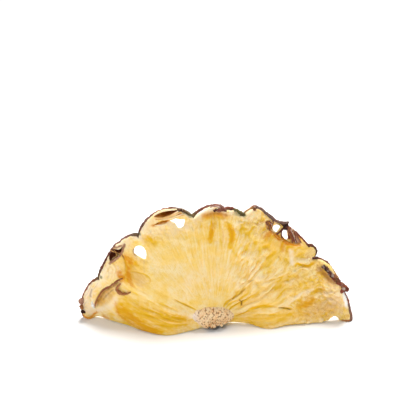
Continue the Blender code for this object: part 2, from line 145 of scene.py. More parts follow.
# Holes torn through the flesh, each an outline of (x, z) points.
HOLES = {
    "left": [(-26.9, 32.7), (-25.3, 33.3), (-24.1, 32.5), (-23.3, 30.7), (-23.5, 28.4),
        (-24.3, 28.1), (-26.1, 29.1), (-27.4, 30.1), (-27.5, 31.3)],
    "top": [(-15.5, 43.2), (-14.4, 43.4), (-13.1, 43.9), (-11.6, 43.6), (-9.9, 43.3), (-9.8, 41.8),
        (-10.5, 40.4), (-11.9, 40.0), (-12.9, 41.6), (-14.4, 42.6)],
    "torn_eye_1": [(21.5, 37.6), (22.7, 38.5), (24.5, 38.4), (24.2, 37.4), (23.5, 36.6),
        (22.8, 35.8)],
    "torn_eye_2": [(25.6, 37.0), (26.7, 35.8), (26.9, 33.5), (26.2, 33.0), (25.3, 33.9),
        (24.6, 35.0)],
}
HOLE_LIP = 1.6
HOLE_LIP_THICKNESS = 0.6

# Open eyes of the fruit, each an outline of (x, z) points and a depth.
POCKETS = {
    "mouth": ([(-20.5, 45.1), (-19.6, 46.1), (-17.7, 47.0), (-15.9, 47.4), (-14.0, 47.5),
        (-11.9, 47.3), (-13.3, 46.6), (-15.3, 45.6), (-17.4, 44.9)], 2.0),
    "slit": ([(-20.0, 42.3), (-18.1, 43.3), (-15.9, 43.5), (-16.1, 42.8), (-18.1, 42.2)], 0.75),
    "left_eye": ([(-36.1, 31.0), (-34.5, 31.6), (-32.7, 31.4), (-31.3, 32.5), (-31.7, 30.6),
        (-31.9, 29.6), (-33.3, 28.6), (-34.8, 27.4), (-36.2, 26.9), (-36.4, 29.0)], 2.3),
    "top_eye": ([(1.0, 46.1), (2.4, 46.6), (4.4, 46.4), (3.6, 45.8), (1.8, 45.6)], 1.0),
    "right_eye": ([(27.6, 36.2), (28.7, 36.3), (29.6, 34.9), (30.3, 33.0), (29.5, 32.7),
        (28.6, 34.2)], 1.3),
}
POCKET_FLOOR = 0.7
POCKET_BULGE = 1.8

# What hollows them: how far the cutters reach, and how the bowl narrows as it deepens.
CUTTER_REACH = 5.0
POCKET_CUTTER_TOP = 2.5
POCKET_BOWL = [(0.93, 0.45), (0.80, 0.75), (0.58, 0.93), (0.30, 1.0)]

# The hollow of the torn fruitlet on the left: its steep edge, its shallow edge and its depth.
HOLLOW_STEEP = [
    (-41.8, 6.0), (-41.4, 8.0), (-40.5, 10.5), (-39.2, 13.2), (-37.6, 15.2), (-36.0, 16.7),
    (-34.4, 18.3), (-33.2, 19.3), (-32.2, 19.9),
]
HOLLOW_SHALLOW = [
    (-40.8, 5.4), (-39.0, 6.4), (-37.2, 8.0), (-35.7, 10.5), (-34.6, 12.8), (-34.1, 14.4),
    (-33.7, 16.2), (-33.0, 18.0), (-32.2, 19.9),
]
HOLLOW_DEPTH = 2.0
HOLLOW_BRIM = 0.6

# Creases (negative) and ridges (positive) of the sheet: height, half width, the line, and
# the colours that follow it, each with a half width, softness and strength of its own.
# The colours that follow the sunk creases are painted shade in them.
CREASES = [
    (-0.45, 0.34, [(3.5, 7.8), (4.8, 9.9), (7.4, 11.1), (9.9, 13.0), (11.9, 15.2)],
        dict(gold=(0.12, 0.6, 0.9))),
    (-0.45, 0.36, [(5.2, 6.2), (8.0, 8.3), (12.5, 10.9), (15.3, 12.9)],
        dict(gold=(0.12, 0.6, 0.9))),
    (-0.50, 0.45, [(7.4, 3.8), (10.6, 4.9), (14.3, 7.2), (18.3, 8.8), (23.2, 8.0)],
        dict(gold=(0.12, 0.8, 0.9))),
    (0.50, 0.90, [(7.6, 5.0), (11.5, 6.8), (16.5, 10.2), (22.0, 12.5)], {}),
    (0.45, 0.80, [(9.0, 2.6), (14.0, 4.4), (20.0, 6.2), (26.0, 5.6)], {}),
    (-0.35, 0.32, [(4.4, 7.2), (7.0, 9.4), (10.0, 11.0), (13.6, 14.4)], {}),
    (-0.30, 0.30, [(8.6, 12.8), (11.2, 15.2), (13.2, 18.0)], {}),
    (-0.35, 0.36, [(7.6, 2.6), (12.4, 3.4), (18.0, 5.4), (23.0, 5.0)], {}),
    (-0.30, 0.30, [(9.6, 6.6), (14.0, 9.4), (19.4, 11.4)], {}),
    (-0.30, 0.34, [(-10.4, 4.6), (-15.0, 6.4), (-21.0, 8.6), (-27.0, 9.2)],
        dict(gold=(0.1, 0.9, 0.6))),
    (-0.30, 0.34, [(-9.8, 3.2), (-15.0, 3.6), (-21.0, 4.0), (-26.0, 3.4)],
        dict(gold=(0.1, 0.9, 0.6))),
    (-0.25, 0.32, [(-11.0, 7.6), (-16.0, 10.6), (-22.0, 13.0)], {}),
    (-0.35, 0.32, [(-14.3, 13.7), (-12.1, 12.1), (-8.9, 10.0), (-6.5, 8.4)],
        dict(gold=(0.1, 0.7, 0.9))),
    (0.55, 0.90, [(-19.0, 10.4), (-14.0, 8.9), (-8.9, 6.8), (-5.5, 5.3)], {}),
    (-0.40, 0.60, [(-31.1, 7.0), (-23.3, 7.0), (-13.8, 5.9), (-8.0, 4.8)], {}),
    (-0.30, 0.36, [(-38.0, 24.4), (-36.4, 26.4), (-34.6, 26.0), (-33.7, 23.4), (-34.6, 21.0)],
        dict(gold=(0.10, 0.6, 0.6))),
    (-0.25, 0.32, [(-37.0, 22.4), (-35.8, 24.6), (-34.9, 23.6), (-35.3, 21.6)],
        dict(gold=(0.10, 0.6, 0.5))),
    (0.30, 0.55, [(-38.9, 22.8), (-38.6, 20.4), (-37.4, 18.8)], {}),
    (0.32, 0.70, [(-42.2, 17.0), (-44.0, 13.0), (-44.8, 9.0), (-44.2, 5.4)], {}),
    (-0.30, 0.40, [(-40.9, 17.6), (-42.5, 13.6), (-43.2, 10.0), (-42.9, 7.4)], {}),
    (-0.30, 0.40, [(-30.6, 34.6), (-28.4, 35.8), (-26.2, 37.2)], dict(gold=(0.15, 0.7, 0.5))),
    (-0.25, 0.30, [(-30.3, 22.4), (-27.2, 23.0), (-24.2, 22.6), (-22.4, 21.3), (-22.5, 19.6),
        (-24.0, 19.1)], dict(gold=(0.12, 0.5, 0.6))),
    (-0.40, 0.45, [(-31.0, 28.2), (-30.3, 25.7), (-29.9, 22.9)], {}),
    (-0.55, 0.45, [(29.8, 21.6), (30.4, 23.4), (32.3, 22.7), (34.8, 22.4), (36.8, 24.0)],
        dict(gold=(0.5, 0.7, 0.9))),
    (0.50, 0.60, [(31.0, 24.6), (33.0, 24.2), (35.2, 24.4)], {}),
    (-0.40, 0.35, [(23.5, 7.6), (25.8, 7.0), (28.2, 6.4)], {}),
    (-0.30, 1.00, [(38.7, 20.4), (40.8, 18.3), (42.6, 16.8)], {}),
    (-0.45, 0.50, [(37.2, 12.3), (38.9, 13.1), (40.8, 12.4)], {}),
    (-0.35, 0.45, [(26.6, 17.6), (28.2, 16.2)], {}),
    (-0.30, 0.30, [(10.2, 10.0), (10.3, 8.2)], {}),
    (-0.15, 0.30, [(12.7, 17.3), (14.7, 18.6)], dict(brown=(0.1, 0.3, 0.35))),
    (-0.25, 0.35, [(14.1, 27.3), (15.4, 26.2)], dict(brown=(0.12, 0.4, 0.4))),
    (0.55, 0.90, [(31.5, 7.4), (34.1, 8.2), (36.8, 9.7)], {}),
]

# Where else the flesh takes another colour: half width, softness, strength and the line.
COLOURS = {
    "gold": [
        (0.6, 1.8, 0.7, [(-31.1, 7.0), (-23.3, 7.4), (-13.8, 7.1), (-7.3, 5.7)]),
        (4.0, 6.0, 0.90, [(-30.0, 8.0), (-20.0, 6.0), (-12.0, 4.5)]),
        (4.0, 6.0, 0.30, [(-30.0, 25.0), (-26.0, 20.0)]),
        (5.0, 7.0, 0.24, [(-4.0, 38.0), (3.0, 36.0), (8.0, 36.0)]),
        (4.0, 5.0, 0.30, [(32.0, 6.0), (42.0, 7.0)]),
        (3.0, 6.0, 0.60, [(10.0, 3.0), (20.0, 3.5), (30.0, 4.0)]),
        (2.8, 2.6, 1.0, [(-33.0, 7.6), (-30.5, 4.5), (-25.0, 2.5), (-20.0, 1.5)]),
        (0.5, 1.4, 0.9, [(7.8, 3.0), (11.2, 2.4), (15.2, 1.3), (19.1, 1.3)]),
        (5.0, 8.0, 0.35, [(12.0, 10.0), (24.0, 15.0), (36.0, 14.0)]),
        (1.3, 2.0, 0.8, [(28.1, 4.4), (23.1, 5.2), (18.5, 4.2)]),
        (1.6, 2.0, 1.0, [(31.0, 7.4), (33.6, 8.2), (36.4, 9.6)]),
        (1.7, 2.6, 1.0, [(-28.8, 28.0), (-29.6, 24.0), (-30.4, 19.4)]),
        (1.8, 1.8, 1.0, [(-29.4, 28.0), (-27.6, 26.2)]),
        (1.8, 2.4, 1.0, [(-23.4, 36.6), (-21.5, 36.0)]),
        (2.4, 4.0, 0.65, [(20.0, 33.0), (30.0, 28.0)]),
        (1.2, 2.0, 0.8, [(30.1, 34.8), (32.0, 32.8), (34.5, 29.0)]),
        (1.1, 0.7, 1.0, [(0.5, 42.6), (-0.2, 39.1), (-0.9, 34.4)]),
        (1.2, 0.7, 1.0, [(5.0, 41.0), (6.9, 37.2), (6.3, 31.6)]),
        (1.6, 2.0, 0.8, [(-3.1, 43.6), (-0.3, 43.9), (2.8, 43.9), (5.5, 43.6)]),
    ],
    "caramel": [
        (0.6, 1.0, 0.60, [(0.2, 41.0), (-0.3, 38.6), (-0.8, 35.0)]),
        (0.5, 1.0, 0.60, [(5.8, 39.8), (6.9, 37.2), (6.7, 33.4)]),
        (2.0, 2.4, 0.42, [(-32.4, 7.0), (-30.0, 4.2), (-25.0, 2.2), (-21.0, 1.2)]),
        (0.2, 0.5, 0.5, [(3.6, 38.8), (3.8, 36.0), (3.6, 33.5)]),
        (1.0, 1.2, 0.75, [(-3.1, 43.9), (-0.3, 44.3), (2.8, 44.3), (5.5, 43.9)]),
        (0.30, 0.4, 1.0, [(-19.8, 44.4), (-17.0, 44.3), (-14.2, 45.1), (-11.0, 46.3)]),
        (0.55, 0.5, 1.0, [(-21.0, 41.7), (-18.2, 42.6), (-15.4, 43.4)]),
        (0.2, 0.4, 0.8, [(-17.6, 43.8), (-14.6, 44.6), (-11.6, 45.3), (-9.9, 45.3)]),
        (0.5, 1.2, 0.7, [(-34.7, 9.4), (-33.9, 5.2), (-31.8, 2.9), (-26.5, 0.9), (-23.5, 0.2)]),
        (0.9, 1.6, 0.6, [(-30.5, 6.1), (-28.8, 4.5), (-26.4, 4.0)]),
        (1.2, 1.4, 1.0, [(-30.4, 29.0), (-29.4, 27.6), (-28.6, 26.4)]),
        (0.2, 0.5, 0.8, [(-31.0, 28.2), (-30.4, 26.4), (-29.9, 23.6)]),
        (1.1, 1.2, 1.0, [(-33.0, 22.0), (-32.2, 19.6)]),
        (0.8, 1.0, 0.9, [(-29.6, 24.0), (-29.8, 20.8), (-28.6, 17.6)]),
        (0.8, 1.4, 0.7, [(-38.9, 1.6), (-37.6, 1.2)]),
        (1.0, 2.0, 0.45, [(31.0, 7.6), (33.6, 8.4), (36.4, 9.8)]),
        (1.2, 1.6, 0.9, [(19.8, 35.5), (18.9, 35.1)]),
        (1.8, 1.4, 1.0, [(28.0, 36.2), (29.3, 34.3), (29.8, 33.0)]),
        (1.2, 1.2, 0.9, [(19.8, 40.0), (20.8, 37.8)]),
        (0.6, 0.9, 1.0, [(20.3, 36.6), (22.1, 35.0), (24.3, 33.3), (26.6, 31.8), (29.5, 31.1),
            (31.2, 30.9)]),
        (0.7, 1.0, 0.6, [(24.7, 31.5), (25.0, 29.3)]),
        (0.5, 0.7, 0.9, [(-46.4, 2.2), (-45.2, 1.0), (-43.6, 0.8), (-42.4, 1.8), (-41.4, 2.8)]),
    ],
    "brown": [
        (0.14, 0.35, 0.9, [(9.6, 10.5), (10.2, 9.8)]),
        (0.35, 1.2, 0.35, [(-1.8, 44.3), (0.6, 44.7), (3.0, 44.7), (4.8, 44.2)]),
        (0.12, 0.40, 0.7, [(-20.8, 41.8), (-18.2, 42.9), (-15.6, 43.6)]),
        (0.10, 0.35, 0.6, [(-19.6, 44.5), (-16.8, 44.5), (-13.6, 45.4), (-11.2, 46.4)]),
        (0.14, 0.35, 0.9, [(11.0, 10.4), (10.3, 9.8)]),
        (0.22, 0.35, 0.9, [(10.3, 10.0), (10.35, 8.2)]),
        (0.12, 0.35, 0.9, [(23.4, 7.7), (25.8, 7.0), (27.8, 6.5)]),
        (0.10, 0.45, 0.6, [(4.4, 8.6), (7.4, 11.0), (9.9, 13.0), (11.5, 14.8)]),
        (0.08, 0.45, 0.45, [(5.6, 6.6), (8.0, 8.3), (12.5, 10.9)]),
        (0.08, 0.45, 0.35, [(8.4, 3.9), (12.0, 5.6), (16.0, 7.6)]),
        (0.08, 0.40, 0.35, [(-14.0, 13.4), (-11.0, 11.2), (-8.0, 9.2)]),
        (0.12, 0.6, 0.35, [(39.0, 12.8), (41.0, 11.6), (43.2, 12.4)]),
        (0.10, 0.5, 0.35, [(33.4, 13.6), (35.6, 12.2), (37.0, 13.0)]),
        (0.10, 0.5, 0.30, [(40.2, 8.0), (42.4, 9.2), (44.6, 8.4)]),
        (0.5, 1.2, 0.45, [(19.6, 40.1), (20.3, 39.1), (20.6, 37.8), (19.9, 37.4)]),
        (0.20, 0.5, 0.6, [(19.8, 37.4), (21.4, 35.9), (23.6, 33.9), (26.0, 32.4), (28.6, 31.7),
            (30.4, 31.5)]),
        (1.5, 1.2, 0.9, [(28.0, 36.2), (29.3, 34.3), (29.8, 33.0)]),
        (0.2, 0.35, 0.8, [(-27.5, 32.0), (-27.7, 31.0), (-27.5, 30.0), (-26.5, 29.2)]),
        (0.9, 2.2, 0.65, [(38.4, 22.0), (39.8, 20.2), (41.8, 18.0), (44.2, 15.8)]),
        (0.35, 0.5, 0.8, [(-36.0, 31.6), (-33.5, 32.2), (-31.6, 33.0)]),
        (0.5, 0.5, 0.8, [(-31.8, 30.2), (-31.3, 32.1), (-30.7, 33.5)]),
        (0.25, 0.5, 0.5, [(-31.9, 29.8), (-31.3, 28.5), (-31.0, 27.6)]),
        (0.45, 0.5, 0.8, [(-33.2, 28.3), (-34.8, 27.0), (-36.2, 26.0)]),
        # Along the steep edge of the torn fruitlet's hollow: first a brown band, painted shadow
        # under its lip, then thin brown striations of its wall.
        (0.3, 0.5, 0.6, [(-41.0, 7.4), (-40.2, 10.4), (-38.6, 13.0), (-36.4, 15.3), (-34.2, 17.4)]),
        (0.12, 0.3, 0.6, [(-39.8, 8.4), (-38.6, 11.2), (-36.9, 13.6), (-35.0, 15.6)]),
        (0.12, 0.3, 0.5, [(-38.8, 8.4), (-37.6, 10.8), (-36.2, 12.8), (-34.9, 14.4)]),
    ],
    "dark": [
        # The first two darken the floors of two small sunk creases: painted shade.
        (0.10, 0.25, 0.7, [(10.3, 9.7), (10.35, 8.6)]),
        (0.06, 0.22, 0.8, [(24.2, 7.5), (25.8, 7.0), (27.6, 6.5)]),
        (0.6, 0.5, 1.0, [(-46.9, 4.0), (-46.6, 3.6)]),
    ],
    "pale": [
        (6.0, 9.0, 0.22, [(-10.0, 18.0), (0.0, 24.0), (9.0, 20.0), (16.0, 18.0)]),
        (2.6, 2.4, 0.85, [(-43.2, 15.6), (-44.8, 9.0), (-44.2, 3.6)]),
        (1.6, 2.0, 0.8, [(-40.0, 19.0), (-41.5, 14.0)]),
        # A painted highlight on the brim of the torn fruitlet's hollow.
        (0.5, 0.4, 1.0, [(-42.6, 6.9), (-42.6, 5.0)]),
        (1.0, 1.4, 0.7, [(-38.4, 23.5), (-38.9, 20.5)]),
        (0.8, 1.5, 0.95, [(28.0, 28.8), (28.4, 26.2), (28.5, 23.6)]),
        (1.3, 0.8, 1.0, [(47.4, 12.4), (48.0, 10.4), (48.6, 8.3), (49.0, 6.0)]),
        (0.10, 0.4, 0.8, [(23.2, 8.3), (25.4, 7.7), (28.6, 7.3)]),
        (0.5, 1.0, 0.8, [(27.6, 8.8), (29.6, 10.8), (32.4, 12.6), (36.2, 13.2)]),
        (0.8, 1.2, 0.6, [(40.6, 10.6), (43.0, 9.0)]),
        (3.0, 6.0, 0.50, [(43.0, 15.0), (45.5, 8.0), (46.5, 4.0)]),
        (1.1, 1.4, 0.8, [(-8.6, 6.2), (-7.0, 6.6)]),
        (1.0, 0.9, 1.0, [(-6.4, 44.6), (-3.1, 45.9), (-0.2, 46.6)]),
        (3.2, 3.0, 0.50, [(-36.6, 26.0), (-35.4, 22.5)]),
        (2.5, 4.0, 0.45, [(-24.0, 41.0), (-16.0, 40.0), (-6.0, 42.0)]),
        (2.4, 3.0, 0.45, [(11.5, 43.0), (14.5, 43.5)]),
        (0.9, 1.0, 0.6, [(-17.8, 41.6), (-15.6, 42.2), (-10.4, 39.6)]),
        (0.3, 0.4, 0.8, [(2.4, 35.7), (2.45, 35.6)]),
        (0.7, 0.9, 0.8, [(-1.1, 15.3), (-1.0, 15.2)]),
        (1.0, 1.4, 0.8, [(-34.6, 11.3), (-35.3, 8.8), (-37.2, 6.6), (-40.4, 4.0)]),
    ],
    "white": [
        # The first is a painted highlight on the brim of the torn fruitlet's hollow.
        (0.5, 0.5, 1.0, [(-42.9, 7.4), (-42.7, 6.0), (-42.4, 4.9)]),
        (0.6, 0.6, 0.9, [(47.3, 12.2), (47.7, 10.4), (48.3, 8.2), (48.7, 6.2)]),
        (0.3, 0.4, 0.6, [(-7.0, 44.2), (-4.6, 45.4), (-2.2, 46.0)]),
    ],
    "tan": [
        (1.2, 2.4, 0.45, [(38.2, 21.4), (40.2, 18.6), (42.6, 15.8)]),
        (4.0, 5.0, 0.34, [(34.0, 6.0), (44.0, 6.0)]),
        (3.0, 4.0, 0.30, [(-30.0, 24.0), (-26.0, 20.0)]),
        # These two make the torn fruitlet's hollow tan near its steep edge, fading away from it:
        # painted shadow under the lip.
        (1.0, 1.4, 0.58, [(-40.9, 7.6), (-39.6, 11.0), (-37.4, 13.8), (-34.8, 16.4),
            (-33.4, 18.0)]),
        (1.5, 3.0, 0.36, [(-39.6, 7.8), (-37.6, 10.6), (-35.8, 13.2)]),
    ],
    "violet": [
        (0.3, 0.7, 0.7, [(-42.8, 13.6), (-43.4, 11.2), (-43.2, 9.9)]),
        (0.15, 0.5, 0.6, [(-44.8, 8.4), (-45.8, 6.2), (-44.6, 5.0)]),
        (0.1, 0.4, 0.5, [(-43.7, 10.9), (-41.9, 14.0), (-40.4, 16.8)]),
        (0.1, 0.4, 0.5, [(-45.2, 10.4), (-44.0, 12.6), (-42.7, 16.0)]),
        (0.1, 0.5, 0.35, [(-37.9, 26.0), (-36.9, 23.4), (-36.6, 21.0), (-37.4, 19.2)]),
        (0.1, 0.5, 0.35, [(-34.4, 26.4), (-33.3, 24.2), (-33.2, 22.0)]),
        (0.1, 0.5, 0.30, [(-24.2, 27.6), (-24.4, 25.4), (-24.2, 23.4)]),
        (0.3, 0.6, 0.6, [(-46.6, 6.6), (-45.9, 5.6)]),
    ],
    "green": [
        (0.7, 0.8, 0.9, [(-26.6, 38.9), (-25.6, 38.5)]),
        (0.9, 1.2, 0.6, [(-10.2, 47.0), (-8.7, 46.2), (-7.4, 44.9)]),
        (1.0, 1.2, 0.55, [(8.2, 45.0), (9.8, 44.2), (11.2, 43.8)]),
        (0.5, 0.6, 0.8, [(-39.4, 20.2), (-39.4, 19.4)]),
    ],
}


# ---------------------------------------------------------------- the fan of flesh

def smooth_step(low, high, value):
    """0 below low, 1 above high, and a smooth rise between."""
    part = np.clip((value - low) / (high - low), 0.0, 1.0)
    return part * part * (3.0 - 2.0 * part)


def smooth_fall(low, high, value):
    """1 below low, 0 above high, and a smooth fall between."""
    return 1.0 - smooth_step(low, high, value)


def soft_ramp(value, width):
    """0 well below zero and the value itself well above it."""
    return 0.5 * (value + np.sqrt(value * value + width * width))


def grain(x, y, z):
    """Smooth noise from -1 to 1 at each place. In flat patterns, y is the number of a layer."""
    x, y, z = np.broadcast_arrays(x, y, z)
    places = np.stack([x.ravel(), y.ravel(), z.ravel()], axis=1).tolist()
    return np.array([noise.noise(place) for place in places]).reshape(x.shape)


def patches(x, z, size, layer):
    """Smooth noise over the sheet in patches of this size. Each use has a layer of its own."""
    return grain(x / size, layer, z / size)


def billow(x, y, z):
    """Rounded lumps with sharp creases between them, from about -0.2 to 0.6."""
    return np.abs(grain(x, y, z)) - 0.2


def cobbles(x, z):
    """Small cobbles: 0 in the creases between them and 1 on their tops."""
    places = np.stack([x.ravel(), np.full(x.size, 6.0), z.ravel()], axis=1).tolist()
    nearest = np.array([noise.voronoi(place)[0][:2] for place in places])
    return np.clip((nearest[:, 1] - nearest[:, 0]) / 0.45, 0.0, 1.0).reshape(x.shape)


def unit(vectors):
    """The vectors at length 1."""
    return vectors / np.maximum(np.linalg.norm(vectors, axis=-1, keepdims=True), 1e-9)


def cut_edge(x):
    """Depth and height of the cut edge at x, on a smooth curve through its points."""
    slopes = np.gradient(CUT_EDGE[:, 1:], CUT_EDGE[:, 0], axis=0)
    x = np.clip(x, CUT_EDGE[0, 0], CUT_EDGE[-1, 0])
    index = np.clip(np.searchsorted(CUT_EDGE[:, 0], x) - 1, 0, len(CUT_EDGE) - 2)
    start, end = CUT_EDGE[index], CUT_EDGE[index + 1]
    span = end[..., :1] - start[..., :1]
    t = (x[..., None] - start[..., :1]) / span
    rise = (2 * t**3 - 3 * t**2 + 1) * start[..., 1:] + (3 * t**2 - 2 * t**3) * end[..., 1:]
    bend = (t**3 - 2 * t**2 + t) * slopes[index] + (t**3 - t**2) * slopes[index + 1]
    both = rise + bend * span
    return both[..., 0], both[..., 1]


def fruitlet_at(angle):
    """The fruitlet that each angle falls in, and the place along it from 0 to 1."""
    starts = FRUITLETS[:, 0]
    ends = np.append(starts[1:], LAST_CUSP[0])
    number = np.clip(np.searchsorted(starts, angle, side="right") - 1, 0, len(starts) - 1)
    place = (angle - starts[number]) / (ends[number] - starts[number])
    return number, np.clip(place, 0.0, 1.0)


def rim_line(angle):
    """Distance from the ring's centre to its scalloped rim."""
    number, place = fruitlet_at(angle)
    radii = np.append(FRUITLETS[:, 1], LAST_CUSP[1])
    bulge, peak, point = FRUITLETS[number, 2], FRUITLETS[number, 3], FRUITLETS[number, 4]
    skewed = place ** (math.log(0.5) / np.log(peak))
    swell = np.maximum(0.0, np.sin(math.pi * skewed)) ** point
    ragged = sum(
        share * grain(rate * angle, layer, 0.0) for layer, (rate, share) in enumerate(RIM_WAVES, 1)
    )
    straight = radii[number] + (radii[number + 1] - radii[number]) * place
    return straight + bulge * swell + RIM_RAGGEDNESS * ragged


RIM_ANGLES = np.linspace(0.0, LAST_CUSP[0], 3601)
RIM_RADII = rim_line(RIM_ANGLES)


def rim_radius(angle):
    """Distance from the ring's centre to its rim, read from the line worked out once."""
    return np.interp(angle, RIM_ANGLES, RIM_RADII)


def radius_at(angle, reach):
    """Distance from the ring's centre, for a reach from the core (0) to the rim (1)."""
    return INNER_RADIUS + (rim_radius(angle) - INNER_RADIUS) * reach


def rim_gap(angle, reach):
    """Distance to the rim, for a reach from the core (0) to the rim (1)."""
    return (1.0 - reach) * (rim_radius(angle) - INNER_RADIUS)


def radial_folds(angle, radius):
    """Depth of the folds that radiate from the core."""
    depth = 0.0
    for fold_angle, fold_depth, half_width, start, end in RADIAL_FOLDS:
        across = np.exp(-(((angle - fold_angle) / half_width) ** 2))
        begun = smooth_step(start - FOLD_FADE, start + FOLD_FADE, radius)
        ended = smooth_step(end - FOLD_FADE, end + FOLD_FADE, radius)
        depth = depth + fold_depth * across * begun * (1.0 - ended)
    return depth


def sheet_point(angle, reach):
    """Points of the sheet's middle, from the core (reach 0) to the rim (reach 1)."""
    radius = radius_at(angle, reach)
    x = radius * np.cos(np.radians(angle))
    height = radius * np.sin(np.radians(angle))
    edge_depth, edge_height = cut_edge(x)
    edge_rise = (edge_height - RING_CENTRE_HEIGHT) * np.exp(-height / EDGE_FADE)
    z = RING_CENTRE_HEIGHT + height + edge_rise
    left_curl = LEFT_CURL * soft_ramp(LEFT_CURL_START - x, LEFT_CURL_SOFTNESS)
    upper_depth = UPPER_DEPTH + LEAN * height + left_curl
    low = np.exp(-((np.maximum(height, 0.0) / EDGE_WAVE_HEIGHT) ** EDGE_WAVE_FALL))
    number, place = fruitlet_at(angle)
    curl = FRUITLETS[number, 5] * np.sin(math.pi * place) * smooth_step(0.80, 1.0, reach)
    y = edge_depth * low + upper_depth * (1.0 - low) + curl
    y = y + radial_folds(angle, radius) * smooth_step(0.0, EDGE_FADE, height)
    y = y + LUMP_DEPTH * patches(x, height, LUMP_SIZE, 3.0) * smooth_step(2.0, 12.0, height)
    return np.stack([x, y, z], axis=-1)


def sheet_frame(angle, reach, turn=0.6, step=0.01):
    """Points of the sheet's middle, and the directions to its back there, from the slopes
    over a turn to each side and a step inwards and outwards."""
    left, right = np.minimum(angle + turn, LAST_CUSP[0]), np.maximum(angle - turn, 0.0)
    outer, inner = np.minimum(reach + step, 1.0), np.maximum(reach - step, 0.0)
    across = sheet_point(left, reach) - sheet_point(right, reach)
    outward = sheet_point(angle, outer) - sheet_point(angle, inner)
    return sheet_point(angle, reach), unit(np.cross(across, outward))


def fan_place(x, z):
    """The angle and reach of the place that lies at x and height z."""
    edge_height = cut_edge(x)[1]
    height = z - RING_CENTRE_HEIGHT
    for _ in range(5):
        wave = (edge_height - RING_CENTRE_HEIGHT) * np.exp(-np.maximum(height, 0.0) / EDGE_FADE)
        height = z - RING_CENTRE_HEIGHT - wave
    height = np.maximum(height, 0.0)
    angle = np.degrees(np.arctan2(height, x))
    reach = (np.hypot(x, height) - INNER_RADIUS) / (rim_radius(angle) - INNER_RADIUS)
    return angle, np.clip(reach, 0.0, 1.0)


def curve_through(points, closed=False, steps=8):
    """A smooth curve through a line's points."""
    points = np.array(points, float)
    if len(points) < 3 and not closed:
        return points[0] + np.linspace(0.0, 1.0, steps)[:, None] * (points[-1] - points[0])
    if closed:
        padded = np.concatenate([points[-1:], points, points[:2]])
    else:
        before_first, after_last = 2 * points[0] - points[1], 2 * points[-1] - points[-2]
        padded = np.concatenate([[before_first], points, [after_last]])
    curve = []
    for before, start, end, after in zip(padded, padded[1:], padded[2:], padded[3:]):
        for t in np.arange(steps) / steps:
            curve.append(0.5 * (
                2 * start
                + (end - before) * t
                + (2 * before - 5 * start + 4 * end - after) * t**2
                + (3 * start - before - 3 * end + after) * t**3
            ))
    if not closed:
        curve.append(points[-1])
    return np.array(curve)


def distance_to_line(x, z, line):
    """How far each place is from a line, and where along the line the nearest point is."""
    nearest = np.full(x.shape, np.inf)
    along = np.zeros(x.shape)
    lengths = np.linalg.norm(np.diff(line, axis=0), axis=1)
    travelled = np.concatenate([[0.0], np.cumsum(lengths)])
    for start, end, length, before in zip(line, line[1:], lengths, travelled):
        if length == 0.0:
            continue
        ahead = (end - start) / length
        run = np.clip((x - start[0]) * ahead[0] + (z - start[1]) * ahead[1], 0.0, length)
        gap = np.hypot(x - start[0] - run * ahead[0], z - start[1] - run * ahead[1])
        closer = gap < nearest
        nearest = np.where(closer, gap, nearest)
        along = np.where(closer, (before + run) / travelled[-1], along)
    return nearest, along


def in_box(x, z, line, margin):
    """Whether each place is in the box round a line, or within the margin of that box."""
    low, high = line.min(axis=0) - margin, line.max(axis=0) + margin
    return (x > low[0]) & (x < high[0]) & (z > low[1]) & (z < high[1])


def near_line(x, z, line, margin, shape):
    """shape(distance, place along the line, near) near a line, and 0 elsewhere."""
    near = in_box(x, z, line, margin)
    value = np.zeros(x.shape)
    value[near] = shape(*distance_to_line(x[near], z[near], line), near)
    return value


def inside_outline(x, z, outline):
    """Whether each place lies inside a closed outline."""
    inside = np.zeros(x.shape, bool)
    for start, end in zip(outline, np.roll(outline, -1, axis=0)):
        spans = (start[1] > z) != (end[1] > z)
        rise = end[1] - start[1] or 1e-9
        crossing = start[0] + (z - start[1]) * (end[0] - start[0]) / rise
        inside ^= spans & (x < crossing)
    return inside


def outline_distance(x, z, outline, far=4.0):
    """Distance to a closed outline, negative inside it and never more than far."""
    near = in_box(x, z, outline, far)
    distance = np.full(x.shape, far)
    closed = np.concatenate([outline, outline[:1]])
    gap = distance_to_line(x[near], z[near], closed)[0]
    distance[near] = np.minimum(np.where(inside_outline(x[near], z[near], outline), -gap, gap), far)
    return distance


def ragged_outline(points, roughness=0.10):
    """A torn outline: a smooth curve through the points, roughened."""
    curve = curve_through(points, closed=True)
    middle = curve.mean(axis=0)
    x, z = curve.T
    rough = grain(x * 1.7, 4.0, z * 1.7) + 0.6 * grain(x * 4.0, 5.0, z * 4.0)
    return curve + unit(curve - middle) * (roughness * rough)[:, None]


HOLE_OUTLINES = {name: ragged_outline(points, 0.16) for name, points in HOLES.items()}
POCKET_OUTLINES = {name: ragged_outline(points, 0.08) for name, (points, _) in POCKETS.items()}
STEEP_LINE = curve_through(HOLLOW_STEEP)
SHALLOW_LINE = curve_through(HOLLOW_SHALLOW)
HOLLOW_OUTLINE = np.concatenate([STEEP_LINE, SHALLOW_LINE[::-1]])


def sheet_thickness(angle, reach):
    """Thin flesh that thickens at the core and in the lips of the rim."""
    from_rim = rim_gap(angle, reach)
    lip = (RIM_THICKNESS - FLESH_THICKNESS) * smooth_fall(0.5, RIM_SWELL, from_rim)
    swell = CUSP_SWELL_SHARE + (1.0 - CUSP_SWELL_SHARE) * np.sin(math.pi * fruitlet_at(angle)[1])
    at_core = CORE_SWELL * smooth_fall(0.0, CORE_SWELL_REACH, reach)
    return FLESH_THICKNESS + lip * swell + at_core


